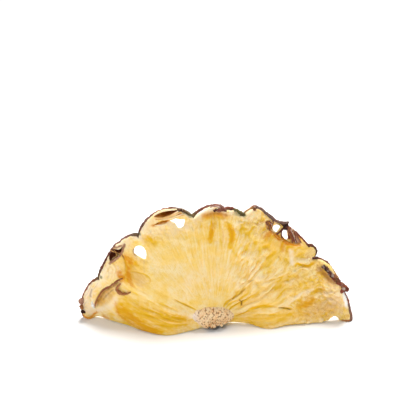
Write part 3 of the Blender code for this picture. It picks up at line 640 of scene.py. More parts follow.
def hollow(x, z):
    """How far the torn fruitlet's hollow and its brim push the sheet to the front."""
    steep = distance_to_line(x, z, STEEP_LINE)[0]
    shallow = distance_to_line(x, z, SHALLOW_LINE)[0]
    inside = inside_outline(x, z, HOLLOW_OUTLINE)
    width = steep + shallow
    bowl = (1.0 - steep / np.maximum(width, 0.01)) ** 0.8
    bowl = bowl * smooth_step(0.2, 2.2, width) * smooth_step(0.0, 0.4, steep)
    brim = np.exp(-((steep / 1.1) ** 2)) * smooth_step(0.0, 2.0, shallow)
    return np.where(inside, -HOLLOW_DEPTH * bowl, HOLLOW_BRIM * brim)


def relief(x, z, angle, reach):
    """How far lumps, wrinkles and creases push the sheet to the front, and the fine part alone."""
    radius = radius_at(angle, reach)
    fan = np.radians(angle) * FAN_RADIUS
    warp = patches(x, z, 6.0, 11.0)
    small_warp = patches(x, z, 2.5, 12.0)
    foot = smooth_step(24.0, 32.0, x) * smooth_fall(20.0, 27.0, z)
    cobbled = smooth_step(3.0, 11.0, x) * smooth_step(8.0, 15.0, z) * (1.0 - foot)
    ribbed = smooth_step(9.0, 15.0, radius) * smooth_fall(18.0, 36.0, angle) * (1.0 - 0.6 * foot)
    left_ribbed = smooth_step(9.0, 16.0, radius) * smooth_step(142.0, 154.0, angle)
    left_ribbed = left_ribbed * smooth_fall(34.0, 40.0, radius)
    crown = smooth_step(34.0, 40.0, radius) * smooth_step(60.0, 70.0, angle)
    crown = crown * smooth_fall(124.0, 136.0, angle)
    fine = cobbled * (
        0.95 * billow(fan / 1.9 + 0.5 * warp + 0.25 * small_warp, 13.0, radius / 4.4 + 0.6 * warp)
        + 0.32 * grain(fan / 1.1 + small_warp, 14.0, radius / 3.0)
    )
    cobbled_foot = smooth_step(32.0, 38.0, x) * smooth_step(1.0, 5.0, z)
    cobbled_foot = cobbled_foot * smooth_fall(17.0, 21.0, z)
    fine = fine + foot * (1.0 - 0.75 * cobbled_foot) * (
        0.90 * billow(x / 2.8 + warp, 15.0, z / 2.0 - 0.6 * small_warp)
        + 0.30 * billow(x / 1.1, 16.0, z / 0.9 + small_warp)
    )
    there = cobbled_foot > 0.0
    if there.any():
        stones = np.zeros(x.shape)
        across = x[there] / 2.2 + 0.5 * small_warp[there]
        stones[there] = cobbles(across, z[there] / 1.9 + 0.5 * warp[there]) - 0.55
        fine = fine + 0.50 * cobbled_foot * stones
    fine = fine + ribbed * 0.95 * billow(0.20 * angle + 0.3 * warp, 17.0, radius / 15.0)
    fine = fine + left_ribbed * 0.75 * billow(0.24 * angle + 0.4 * warp, 18.0, radius / 16.0)
    crown_folds = 0.5 * billow(x / 1.8 + warp, 19.0, z / 1.6) + 0.24 * patches(x, z, 3.0, 26.0)
    fine = fine + crown * crown_folds
    fine = fine + 0.14 * patches(x, z, 3.2, 20.0) + 0.09 * patches(x, z, 1.4, 21.0)
    for height, half_width, points, _ in CREASES:
        line = curve_through(points)

        def ridge(gap, along, near):
            ends = np.sqrt(np.maximum(0.0, np.sin(math.pi * (0.04 + 0.92 * along))))
            return height * ends * np.exp(-((gap / half_width) ** 2))

        fine = fine + near_line(x, z, line, 3.0 * half_width, ridge)
    whole = (fine + hollow(x, z)) * smooth_fall(0.93, 0.995, reach) * smooth_step(0.02, 0.15, reach)
    return whole, fine


def fibres(angle, radius, side):
    """Fine ribs that radiate from the core on one face of the sheet."""
    fine = grain(0.62 * angle, 22.0 + side, radius / 9.0)
    finer = grain(1.25 * angle, 24.0 + side, radius / 5.0)
    centre = np.exp(-(((angle - FAN_MIDDLE) / 26.0) ** 2))
    return (0.02 + 0.11 * centre) * (fine + 0.6 * finer) * smooth_step(6.0, 14.0, radius)


def local_thickness(x, z, angle, reach):
    """The sheet's thickness, torn thin round the holes."""
    thickness = sheet_thickness(angle, reach)
    for outline in HOLE_OUTLINES.values():
        near = smooth_fall(0.0, HOLE_LIP, np.maximum(outline_distance(x, z, outline), 0.0))
        thickness = thickness + (HOLE_LIP_THICKNESS - thickness) * near
    return thickness


def front_point(x, z, lift=0.0):
    """Points at x and height z on the front of the sheet or lifted off it, and the way back."""
    x, z = np.atleast_1d(np.asarray(x, float)), np.atleast_1d(np.asarray(z, float))
    at_x, at_z = x.copy(), z.copy()
    for _ in range(3):
        angle, reach = fan_place(at_x, at_z)
        middle, back = sheet_frame(angle, reach)
        push = relief(at_x, at_z, angle, reach)[0] + local_thickness(at_x, at_z, angle, reach) / 2.0
        points = middle - back * (push + lift)[..., None]
        at_x = at_x + (x - points[..., 0])
        at_z = at_z + (z - points[..., 2])
    points[..., 0] = x
    points[..., 2] = z
    return points, back


# ---------------------------------------------------------------- making pieces

def link_object(name, data):
    """A new object of the scene."""
    thing = bpy.data.objects.new(name, data)
    bpy.context.scene.collection.objects.link(thing)
    return thing


def add_mesh(name, points, faces):
    """An object with these points and faces, its faces pointing out."""
    mesh = bpy.data.meshes.new(name)
    faces = faces.tolist() if hasattr(faces, "tolist") else faces
    mesh.from_pydata(np.asarray(points).reshape(-1, 3).tolist(), [], faces)
    body = bmesh.new()
    body.from_mesh(mesh)
    bmesh.ops.recalc_face_normals(body, faces=body.faces)
    body.to_mesh(mesh)
    body.free()
    return link_object(name, mesh)


def border(columns, rows):
    """The grid places round the edge of a grid, in order."""
    low = [(column, 0) for column in range(columns + 1)]
    right = [(columns, row) for row in range(1, rows + 1)]
    high = [(column, rows) for column in range(columns - 1, -1, -1)]
    left = [(0, row) for row in range(rows - 1, 0, -1)]
    return np.array(low + right + high + left)


def add_slab(name, front, back, rounding=0.35):
    """A closed body between two grids of points, with a rounded edge."""
    columns, rows = front.shape[0] - 1, front.shape[1] - 1
    count = (columns + 1) * (rows + 1)
    edge = border(columns, rows)
    inner = np.clip(edge, 1, [columns - 1, rows - 1])
    middle = 0.5 * (front + back)
    out = unit(middle[edge[:, 0], edge[:, 1]] - middle[inner[:, 0], inner[:, 1]])
    gap = np.linalg.norm(front - back, axis=-1)[edge[:, 0], edge[:, 1]]
    wall = middle[edge[:, 0], edge[:, 1]] + out * (rounding * gap)[:, None]
    points = np.concatenate([front.reshape(-1, 3), back.reshape(-1, 3), wall])
    index = np.arange(count).reshape(columns + 1, rows + 1)
    corners = [index[:-1, :-1], index[1:, :-1], index[1:, 1:], index[:-1, 1:]]
    quads = np.stack(corners, axis=-1).reshape(-1, 4)
    on_front = index[edge[:, 0], edge[:, 1]]
    on_wall = 2 * count + np.arange(len(edge))
    next_front, next_wall = np.roll(on_front, -1), np.roll(on_wall, -1)
    front_wall = np.stack([on_front, next_front, next_wall, on_wall], axis=-1)
    back_wall = np.stack([on_front + count, on_wall, next_wall, next_front + count], axis=-1)
    faces = np.concatenate([quads[:, ::-1], quads + count, front_wall, back_wall])
    return add_mesh(name, points, faces)


def wall_faces(rings, corners):
    """The faces of a wall through rings of this many corners each."""
    index = np.arange(rings * corners).reshape(rings, corners)
    beside = np.roll(index, -1, axis=1)
    walls = np.stack([index[:-1], beside[:-1], beside[1:], index[1:]], axis=-1)
    return walls.reshape(-1, 4).tolist()


def cap_faces(ring, corners, tip):
    """The faces from a ring to the point that closes it."""
    first = ring * corners
    return [[first + corner, first + (corner + 1) % corners, tip] for corner in range(corners)]


def swell_along(path, start, middle, end):
    """A radius for each point of a path, from those at its start, middle and end."""
    return np.interp(np.linspace(0.0, 1.0, len(path)), [0.0, 0.5, 1.0], [start, middle, end])


def tube_shape(path, radii, sides=14, rough=0.0, seed=0.0):
    """Points and faces of a round strand along a path, closed at both ends and roughened."""
    path = np.asarray(path, float)
    radii = np.broadcast_to(np.asarray(radii, float), len(path))
    ahead = unit(np.gradient(path, axis=0))
    side = unit(np.cross(ahead[0], (0.3, 1.0, 0.2)))
    rings = []
    turn = np.arange(sides) * 2.0 * math.pi / sides
    for centre, forward, radius in zip(path, ahead, radii):
        side = unit(side - forward * np.dot(side, forward))
        up = np.cross(forward, side)
        ring = centre + radius * (np.cos(turn)[:, None] * side + np.sin(turn)[:, None] * up)
        if rough:
            x, y, z = ring.T
            swell = grain(x * 1.6 + seed, y * 1.6, z * 1.6)
            swell = swell + 0.5 * grain(x * 4.0 + seed, y * 4.0, z * 4.0)
            ring = ring + (ring - centre) * (rough * swell)[:, None]
        rings.append(ring)
    ends = [path[:1] - ahead[:1] * radii[0] * 0.5, path[-1:] + ahead[-1:] * radii[-1] * 0.5]
    count = len(path)
    faces = wall_faces(count, sides)
    faces += cap_faces(0, sides, count * sides) + cap_faces(count - 1, sides, count * sides + 1)
    return np.concatenate(rings + ends), faces


def lump_shape(centre, radii, turn, rough, seed, detail=4):
    """Points and faces of a knobbly, pitted lump: a ball pulled about by noise."""
    ball = bmesh.new()
    bmesh.ops.create_icosphere(ball, subdivisions=detail, radius=1.0)
    directions = np.array([vertex.co[:] for vertex in ball.verts])
    faces = [[vertex.index for vertex in face.verts] for face in ball.faces]
    ball.free()
    x, y, z = directions.T
    swell = grain(x * 1.4 + seed, y * 1.4, z * 1.4)
    pits = np.abs(grain(x * 2.8 + seed, y * 2.8, z * 2.8))
    reach = 1.0 + rough * (0.8 * swell - 1.6 * pits + 0.3)
    shaped = directions * reach[:, None] * np.array(radii)
    spin = np.array(Matrix.Rotation(math.radians(turn), 3, "Y"))
    return shaped @ spin.T + np.array(centre), faces


def add_shapes(name, shapes):
    """One object of several closed shapes, each given by its points and faces."""
    points, faces, count = [], [], 0
    for shape_points, shape_faces in shapes:
        faces += [[corner + count for corner in face] for face in shape_faces]
        points.append(shape_points)
        count += len(shape_points)
    return add_mesh(name, np.concatenate(points), faces)


def mesh_points(thing):
    """The object's points as an array."""
    flat = np.zeros(len(thing.data.vertices) * 3, np.float32)
    thing.data.vertices.foreach_get("co", flat)
    return flat.reshape(-1, 3).astype(float)


def set_mask(thing, name, values):
    """Keep a number for each point, for the material to read."""
    attribute = thing.data.attributes.new(name, "FLOAT", "POINT")
    values = np.broadcast_to(np.asarray(values, float), len(thing.data.vertices))
    attribute.data.foreach_set("value", np.clip(values, 0.0, 1.0).astype(np.float32))


def set_vector(thing, name, values):
    """Keep a vector for each point, for the material to read."""
    attribute = thing.data.attributes.new(name, "FLOAT_VECTOR", "POINT")
    attribute.data.foreach_set("vector", values.astype(np.float32).ravel())


def finish_piece(thing, material, sharp=60.0):
    """Put a piece in the frame, in metres, with its material, on its body."""
    points = (mesh_points(thing) - FRAME_ORIGIN) * MM
    points[:, 2] = np.maximum(points[:, 2], 0.0)
    thing.data.vertices.foreach_set("co", points.astype(np.float32).ravel())
    thing.data.update()
    thing.data.shade_smooth()
    thing.data.set_sharp_from_angle(angle=math.radians(sharp))
    thing.data.materials.clear()
    thing.data.materials.append(material)
    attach(thing, BODY)
    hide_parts(NODE)
    return thing


# ---------------------------------------------------------------- materials

def colour(red, green, blue):
    """A screen colour as the shader's own values."""
    parts = np.array([red, green, blue]) / 255.0
    linear = np.where(parts <= 0.04045, parts / 12.92, ((parts + 0.055) / 1.055) ** 2.4)
    return (*linear.tolist(), 1.0)


class Recipe:
    """A material and short names for the shader nodes that it is mixed from."""

    def __init__(
        self, name, roughness, specular, subsurface=0.0, radius=(1.0, 0.6, 0.25), depth=1.0
    ):
        self.material = bpy.data.materials.new(name)
        self.material.use_nodes = True
        self.nodes = self.material.node_tree.nodes
        self.links = self.material.node_tree.links
        self.shader = self.nodes["Principled BSDF"]
        self.feed(self.shader, {
            "Roughness": roughness,
            "Specular IOR Level": specular,
            "Subsurface Weight": subsurface,
            "Subsurface Radius": radius,
            "Subsurface Scale": depth * MM,
        })
        metres = self.node("ShaderNodeTexCoord", {}).outputs["Object"]
        self.place = self.stretched(metres, (1.0 / MM, 1.0 / MM, 1.0 / MM))

    def feed(self, node, inputs):
        """Set the node's inputs to numbers, or link them to other nodes' outputs."""
        for socket, value in inputs.items():
            if isinstance(value, bpy.types.NodeSocket):
                self.links.new(value, node.inputs[socket])
            else:
                node.inputs[socket].default_value = value
        return node

    def node(self, kind, inputs, **settings):
        """A new node with these inputs and settings."""
        node = self.nodes.new(kind)
        for name, value in settings.items():
            setattr(node, name, value)
        return self.feed(node, inputs)

    def stretched(self, vector, factors):
        """The vector times a number for each direction."""
        inputs = {0: vector, 1: factors}
        return self.node("ShaderNodeVectorMath", inputs, operation="MULTIPLY").outputs[0]

    def mask(self, name):
        """A number kept for each point."""
        return self.node("ShaderNodeAttribute", {}, attribute_name=name).outputs["Fac"]

    def vector(self, name):
        """A vector kept for each point."""
        return self.node("ShaderNodeAttribute", {}, attribute_name=name).outputs["Vector"]

    def noise(self, scale, detail=3.0, roughness=0.55, vector=None, distortion=0.0):
        """Noise with this many waves to the millimetre."""
        inputs = {"Vector": vector or self.place, "Scale": scale, "Detail": detail,
                  "Roughness": roughness, "Distortion": distortion}
        return self.node("ShaderNodeTexNoise", inputs).outputs["Fac"]

    def ramp(self, value, low, high, start=0.0, end=1.0):
        """A smooth rise from start to end while the value goes from low to high."""
        inputs = {"Value": value, "From Min": low, "From Max": high, "To Min": start, "To Max": end}
        node = self.node("ShaderNodeMapRange", inputs, interpolation_type="SMOOTHSTEP")
        return node.outputs["Result"]

    def math(self, operation, first, second=0.0):
        """Two numbers put together."""
        return self.node("ShaderNodeMath", {0: first, 1: second}, operation=operation).outputs[0]

    def times(self, first, second):
        """Two numbers multiplied."""
        return self.math("MULTIPLY", first, second)

    def mix(self, factor, first, second):
        """Two colours mixed."""
        inputs = {0: factor, 6: first, 7: second}
        return self.node("ShaderNodeMix", inputs, data_type="RGBA").outputs[2]

    def painted(self, tone, paints, broken=None):
        """A tone painted with a colour for each mask, some of them broken up by a pattern."""
        for name, paint in paints.items():
            factor = self.mask(name)
            if broken and name in BROKEN_PAINTS:
                factor = self.times(factor, broken)
            tone = self.mix(factor, tone, paint)
        return tone

    def finished(self, tone, height, strength, distance):
        """The material with its colour, and with fine bumps as deep as distance in millimetres."""
        inputs = {"Height": height, "Strength": strength, "Distance": distance * MM}
        bumps = self.node("ShaderNodeBump", inputs)
        self.feed(self.shader, {"Base Color": tone, "Normal": bumps.outputs["Normal"]})
        return self.material


PALE_FLESH = colour(255, 234, 188)
FLESH = colour(252, 212, 112)
DEEP_FLESH = colour(242, 198, 50)
GOLD = colour(236, 183, 6)
# The colour of the painted shade in the fine wrinkles.
WRINKLE_SHADE = colour(206, 134, 44)

# What each mask paints on the flesh, one over the other, and which ones the fibres break up.
FLESH_PAINTS = {
    "gold": GOLD,
    "pale": colour(255, 233, 202),
    "tan": colour(196, 136, 76),
    "violet": colour(172, 146, 132),
    "caramel": colour(222, 142, 4),
    "green": colour(98, 104, 52),
    "brown": colour(126, 54, 22),
    # Near-black: painted shade deep in the open eyes and in two small creases, and a dark notch at
    # the left end.
    "dark": colour(38, 18, 12),
    "white": colour(255, 250, 240),
}
BROKEN_PAINTS = ("gold", "caramel", "tan", "pale")

RIND_DEEP = colour(62, 29, 20)
RIND_BROWN = colour(114, 62, 42)
RIND_LIGHT = colour(154, 98, 72)
RIND_RED = colour(160, 80, 56)
RIND_PAINTS = {
    "green": colour(110, 106, 58),
    "tan": colour(206, 150, 84),
    "dark": colour(44, 22, 16),
    "pale": colour(238, 214, 196),
}

CORE_BEIGE = colour(252, 208, 152)
CORE_CREAM = colour(255, 226, 184)
CORE_GAP_BROWN_AND_SHADE = colour(184, 124, 66)
CORE_SPECK = colour(126, 70, 38)
# The core's pale left end, and the near-black of the painted shade along its lower edge.
CORE_PAINTS = {"pale": colour(252, 234, 218), "dark": colour(44, 26, 20)}


def flesh_material():
    """Golden, waxy dried flesh with radiating fibres, coloured by its masks."""
    recipe = Recipe("dried_flesh", 0.5, 0.15, subsurface=0.30, radius=(1.0, 0.75, 0.30), depth=0.8)
    fan = recipe.vector("fan")
    strands = recipe.noise(1.0, 3.0, 0.6, recipe.stretched(fan, (1.15, 0.10, 1.0)))
    thin_strands = recipe.noise(1.0, 2.0, 0.5, recipe.stretched(fan, (3.2, 0.22, 1.0)))
    streaks = recipe.noise(1.0, 4.0, 0.65, recipe.stretched(fan, (0.75, 0.16, 1.0)))
    mottle = recipe.noise(0.22, 4.0)
    blotch = recipe.noise(0.9, 4.0, 0.65, distortion=0.6)
    tone = recipe.mix(recipe.ramp(mottle, 0.22, 0.72, 0.15, 1.0), PALE_FLESH, FLESH)
    tone = recipe.mix(recipe.times(recipe.ramp(blotch, 0.44, 0.76), 0.55), tone, DEEP_FLESH)

    # Painted light and shade: paler on the tops of the relief and more golden in its hollows.
    relief_light_and_shade = recipe.mask("tone")
    tone = recipe.mix(recipe.ramp(relief_light_and_shade, 0.55, 0.85, 0.0, 0.7), tone, PALE_FLESH)
    tone = recipe.mix(recipe.ramp(relief_light_and_shade, 0.48, 0.28, 0.0, 0.85), tone, DEEP_FLESH)
    tone = recipe.mix(recipe.ramp(relief_light_and_shade, 0.34, 0.08, 0.0, 0.75), tone, GOLD)

    fibre = recipe.mask("fibre")
    tone = recipe.mix(recipe.times(recipe.ramp(strands, 0.50, 0.68), fibre), tone, DEEP_FLESH)
    tone = recipe.mix(recipe.times(recipe.ramp(strands, 0.46, 0.34), fibre), tone, PALE_FLESH)
    tone = recipe.mix(recipe.times(recipe.ramp(thin_strands, 0.52, 0.72), fibre), tone, GOLD)

    # Painted shade: thin wrinkle lines, which also sink the bumps, take a darker colour where the
    # mask allows.
    off_middle = recipe.math("SUBTRACT", recipe.noise(0.5, 3.0, 0.6, distortion=0.7), 0.5)
    wrinkle = recipe.ramp(recipe.math("ABSOLUTE", off_middle), 0.030, 0.0)
    shaded_wrinkles = recipe.times(wrinkle, recipe.mask("shaded_wrinkles"))
    tone = recipe.mix(shaded_wrinkles, tone, WRINKLE_SHADE)
    tone = recipe.painted(tone, FLESH_PAINTS, broken=recipe.ramp(streaks, 0.34, 0.56, 0.50, 1.0))
    recipe.feed(recipe.shader, {"Roughness": recipe.ramp(recipe.noise(1.6), 0.3, 0.7, 0.36, 0.60)})
    fine = recipe.math("ADD", recipe.noise(2.0, 4.0, 0.65), recipe.times(strands, 0.8))
    fine = recipe.math("SUBTRACT", fine, recipe.times(shaded_wrinkles, 0.25))
    return recipe.finished(tone, fine, 0.7, 0.35)


def rind_material():
    """Leathery dried rind: purple-brown, with paler ridges, and green at the cusps."""
    recipe = Recipe("dried_rind", 0.55, 0.22)
    ridges = recipe.noise(1.1, 4.0, 0.65)
    tone = recipe.mix(recipe.ramp(ridges, 0.35, 0.6), RIND_DEEP, RIND_BROWN)
    tone = recipe.mix(recipe.ramp(recipe.noise(0.5), 0.5, 0.72), tone, RIND_LIGHT)
    tone = recipe.mix(recipe.times(recipe.mask("red"), 0.85), tone, RIND_RED)
    tone = recipe.painted(tone, RIND_PAINTS)
    recipe.feed(recipe.shader, {"Roughness": recipe.ramp(recipe.noise(2.2), 0.3, 0.7, 0.40, 0.65)})
    return recipe.finished(tone, recipe.math("ADD", recipe.noise(2.4, 4.0, 0.7), ridges), 0.9, 0.45)


def core_material():
    """Dry, granular core: pinkish beige grains, browner in the gaps between them, partly its own
    colour and partly painted shade.
    """
    recipe = Recipe("dried_core", 0.7, 0.25, subsurface=0.15, radius=(0.8, 0.5, 0.3), depth=0.6)
    tone = recipe.mix(recipe.ramp(recipe.noise(0.5), 0.35, 0.65), CORE_BEIGE, CORE_CREAM)
    # Browner between the grains: partly the core's own colour, partly painted shade in the hollows.
    gap = recipe.mask("gap")
    tone = recipe.mix(gap, tone, CORE_GAP_BROWN_AND_SHADE)
    speck = recipe.times(gap, recipe.ramp(recipe.noise(1.3, 2.0), 0.46, 0.62))
    tone = recipe.mix(speck, tone, CORE_SPECK)
    tone = recipe.painted(tone, CORE_PAINTS)
    return recipe.finished(tone, recipe.noise(3.5, 4.0, 0.7), 0.8, 0.35)


# ---------------------------------------------------------------- flesh

def column_angles(step):
    """Angles along the rim with a column at each cusp, closer together there."""
    starts = np.append(FRUITLETS[:, 0], LAST_CUSP[0])
    angles = []
    for start, end in zip(starts, starts[1:]):
        even = np.arange(round((end - start) / step)) / round((end - start) / step)
        eased = 0.5 - 0.5 * np.cos(math.pi * even)
        angles.append(start + (end - start) * (0.7 * even + 0.3 * eased))
    return np.append(np.concatenate(angles), LAST_CUSP[0])


def add_hole_cutter(name, outline):
    """A prism that runs right through the sheet."""
    depths = front_point(outline[:, 0], outline[:, 1])[0][:, 1]
    layers = np.stack([
        np.stack([outline[:, 0], depths + depth, outline[:, 1]], axis=-1)
        for depth in (-CUTTER_REACH, 0.0, CUTTER_REACH)
    ])
    count = len(outline)
    ends = [list(range(count)), list(range(2 * count, 3 * count))]
    return add_mesh(name, layers, ends + wall_faces(3, count))


def add_pocket_cutter(name, outline, depth):
    """A bowl with striped walls that hollows the front of the sheet."""
    points, back = front_point(outline[:, 0], outline[:, 1])
    middle = points.mean(axis=0)
    axis = unit(back.mean(axis=0))
    count = len(outline)
    stripes = 1.0 + 0.16 * grain(np.arange(count) * 0.9, 30.0, float(len(name)))
    mouth = middle + (points - middle) * 1.06 - axis * POCKET_CUTTER_TOP
    layers = [mouth, points]
    for scale, sink in POCKET_BOWL:
        layers.append(middle + (points - middle) * scale + axis * (sink * depth * stripes)[:, None])
    rings = len(layers)
    tips = np.stack([middle + axis * depth, middle - axis * POCKET_CUTTER_TOP])
    faces = wall_faces(rings, count)
    faces += cap_faces(rings - 1, count, rings * count) + cap_faces(0, count, rings * count + 1)
    return add_mesh(name, np.concatenate(layers + [tips]), faces)


def cut(thing, cutters):
    """Take the cutters out of the object."""
    collection = bpy.data.collections.new("cutters")
    bpy.context.scene.collection.children.link(collection)
    for cutter in cutters:
        bpy.context.scene.collection.objects.unlink(cutter)
        collection.objects.link(cutter)
    boolean = thing.modifiers.new("Cut", "BOOLEAN")
    boolean.operation = "DIFFERENCE"
    boolean.operand_type = "COLLECTION"
    boolean.collection = collection
    boolean.solver = "MANIFOLD"
    bpy.context.view_layer.update()
    evaluated = thing.evaluated_get(bpy.context.evaluated_depsgraph_get())
    mesh = bpy.data.meshes.new_from_object(evaluated)
    thing.modifiers.clear()
    thing.data = mesh
    for cutter in cutters:
        bpy.data.objects.remove(cutter)
    bpy.data.collections.remove(collection)


def nearest_places(x, z, at_x, at_z):
    """For each place (x, z), the number of the nearest of the places (at_x, at_z)."""
    tree = kdtree.KDTree(len(at_x))
    for number, (place_x, place_z) in enumerate(zip(at_x.tolist(), at_z.tolist())):
        tree.insert((place_x, 0.0, place_z), number)
    tree.balance()
    places = zip(x.tolist(), z.tolist())
    return np.array([tree.find((place_x, 0.0, place_z))[1] for place_x, place_z in places])


def line_mask(x, z, half_width, softness, strength, points, rough):
    """Strength on the line and 0 beside it, tapered at its ends."""
    def shape(gap, along, near):
        ends = np.sqrt(np.maximum(0.0, np.sin(math.pi * (0.08 + 0.84 * along))))
        width = half_width * (0.45 + 0.55 * ends)
        gap = gap + 0.22 * rough[near] * (half_width + softness)
        return strength * smooth_fall(width - 0.5 * softness, width + 0.5 * softness, gap)

    return near_line(x, z, curve_through(points), 1.5 * (half_width + softness), shape)


def colour_lines(name):
    """The lines that take a colour, among them the sunk creases that it darkens as painted shade.
    """
    shaded_creases = [(line, crease_shades[name]) for _, _, line, crease_shades in CREASES if name in crease_shades]
    return COLOURS[name] + [(*crease_shade, line) for line, crease_shade in shaded_creases]


def line_masks(x, z):
    """The strength of each colour, from the lines that take it."""
    rough = patches(x, z, 1.1, 40.0) + 0.6 * patches(x, z, 0.5, 41.0)
    masks = {}
    for name in COLOURS:
        masks[name] = np.zeros(x.shape)
        for half_width, softness, strength, line in colour_lines(name):
            value = line_mask(x, z, half_width, softness, strength, line, rough)
            masks[name] = np.maximum(masks[name], value)
    return masks


def colour_pockets(masks, x, z, behind, through):
    """Brown the walls of the open eyes, and darken them with painted shade the further they sink.
    The mouth and slit stay caramel at their left.
    """
    for name, outline in POCKET_OUTLINES.items():
        gap = outline_distance(x, z, outline)
        inside = (gap < 0.12) & (behind > 0.2) & (behind < through - 0.25)
        sunk = np.where(inside, smooth_step(0.1, 0.7, behind), 0.0)
        # Painted shade: darker the further the wall lies behind the front.
        deep = np.where(inside, smooth_step(0.3, 1.3, behind), 0.0)
        if name in ("mouth", "slit"):
            left = smooth_fall(-19.4, -15.0, x) if name == "mouth" else np.ones(x.shape)
            masks["caramel"] = np.maximum(masks["caramel"], sunk)
            sunk = 0.80 * sunk * (1.0 - 0.75 * left)
            deep = 0.35 * deep * (1.0 - left)
        masks["brown"] = np.maximum(masks["brown"], sunk)
        masks["dark"] = np.maximum(masks["dark"], 0.45 * deep)


def colour_flesh(thing, front, back, fine):
    """Masks that say where the flesh is golden, pale, caramel, green, brown or dark, and where
    painted light and shade fall on its relief, wrinkles, creases and open eyes.
    """
    points = mesh_points(thing)
    x, depth, z = points.T
    nearest = nearest_places(x, z, front[..., 0].ravel(), front[..., 2].ravel())
    behind = depth - front[..., 1].ravel()[nearest]
    through = (back[..., 1] - front[..., 1]).ravel()[nearest]
    on_front = behind < 0.5 * through
    angle, reach = fan_place(x, z)
    radius = radius_at(angle, reach)
    masks = line_masks(x, z)
    for name in ("pale", "brown", "dark", "green"):
        masks[name] = np.where(on_front, masks[name], BACK_COLOUR_SHARE * masks[name])
    colour_pockets(masks, x, z, behind, through)
    lip = smooth_fall(0.4, 3.6, rim_gap(angle, reach))
    lobes = smooth_step(66.0, 72.0, angle) * smooth_fall(156.0, 162.0, angle)
    masks["pale"] = np.maximum(masks["pale"], 0.75 * lip * (0.25 + 0.75 * lobes))
    # Painted light and shade: the fine relief's height, which the material turns into paler tops
    # and more golden hollows.
    masks["tone"] = 0.5 + 0.95 * fine.ravel()[nearest]
    foot = smooth_step(22.0, 32.0, x) * smooth_fall(20.0, 28.0, z)
    right = smooth_step(6.0, 14.0, x) * smooth_step(8.0, 14.0, z)
    lobe = smooth_step(36.0, 42.0, radius)
    # How strong the fine wrinkles and their painted shade are.
    masks["shaded_wrinkles"] = 0.08 + 0.40 * foot + 0.25 * right * (1.0 - foot) + 0.20 * lobe
    centre = np.exp(-(((angle - FAN_MIDDLE) / 30.0) ** 2)) * smooth_step(8.0, 16.0, radius)
    masks["fibre"] = 0.14 + 0.55 * centre
    for name, value in masks.items():
        set_mask(thing, name, value)
    layer = np.where(on_front, 0.0, BACK_LAYER)
    set_vector(thing, "fan", np.stack([np.radians(angle) * FAN_RADIUS, radius, layer], axis=-1))


def build_flesh(material):
    """The fan of flesh, with its holes and open eyes."""
    angles = column_angles(COLUMN_STEP)
    reaches = 1.0 - (1.0 - np.arange(SHEET_ROWS + 1) / SHEET_ROWS) ** 1.25
    angle, reach = np.meshgrid(angles, reaches, indexing="ij")
    middle = sheet_point(angle, reach)
    radius = radius_at(angle, reach)
    back_way = unit(np.cross(np.gradient(middle, axis=0), np.gradient(middle, axis=1)))
    x, z = middle[..., 0], middle[..., 2]
    push, fine = relief(x, z, angle, reach)
    thickness = local_thickness(x, z, angle, reach)
    from_rim = rim_gap(angle, reach)
    lip = np.sqrt(1.0 - (1.0 - np.minimum(from_rim / LIP_ROUNDING, 1.0)) ** 2)
    half = thickness / 2.0 * np.maximum(lip, LIP_EDGE_SHARE)
    bulge = np.zeros(x.shape)
    for name, (_, depth) in POCKETS.items():
        beside = np.maximum(outline_distance(x, z, POCKET_OUTLINES[name]), 0.0)
        needed = np.maximum(depth + POCKET_FLOOR - thickness, 0.0)
        bulge = np.maximum(bulge, smooth_fall(0.0, POCKET_BULGE, beside) * needed)
    bulge = bulge * smooth_step(0.2, 1.5, from_rim)
    front_ribs, back_ribs = fibres(angle, radius, 0.0) * lip, 0.8 * fibres(angle, radius, 1.0) * lip
    front = middle - back_way * (push + half + front_ribs)[..., None]
    back = middle + back_way * (half - push + bulge + back_ribs)[..., None]
    flesh = add_slab("flesh_sheet", front, back, 0.2)
    cutters = [add_hole_cutter(f"hole_{name}", outline) for name, outline in HOLE_OUTLINES.items()]
    for name, (_, depth) in POCKETS.items():
        cutters.append(add_pocket_cutter(f"pocket_{name}", POCKET_OUTLINES[name], depth))
    cut(flesh, cutters)
    colour_flesh(flesh, front, back, fine)
    return finish_piece(flesh, material, sharp=75.0)


# ---------------------------------------------------------------- rind

# How finely the rind is drawn along and across the rim, how far it wraps to the back, how
# its surface and its root are sunk in the flesh, and where along the fan its run is measured.
RIND_STEP = 0.25
RIND_ROWS = 14
RIND_BACK_WRAP = 95.0
RIND_SINK = 0.06
RIND_ROOT = 0.12
RIND_RUN_RADIUS = 45.0
JUST_INSIDE_RIM = 0.96
RIND_TONES = ("red", "green", "tan", "dark", "pale")

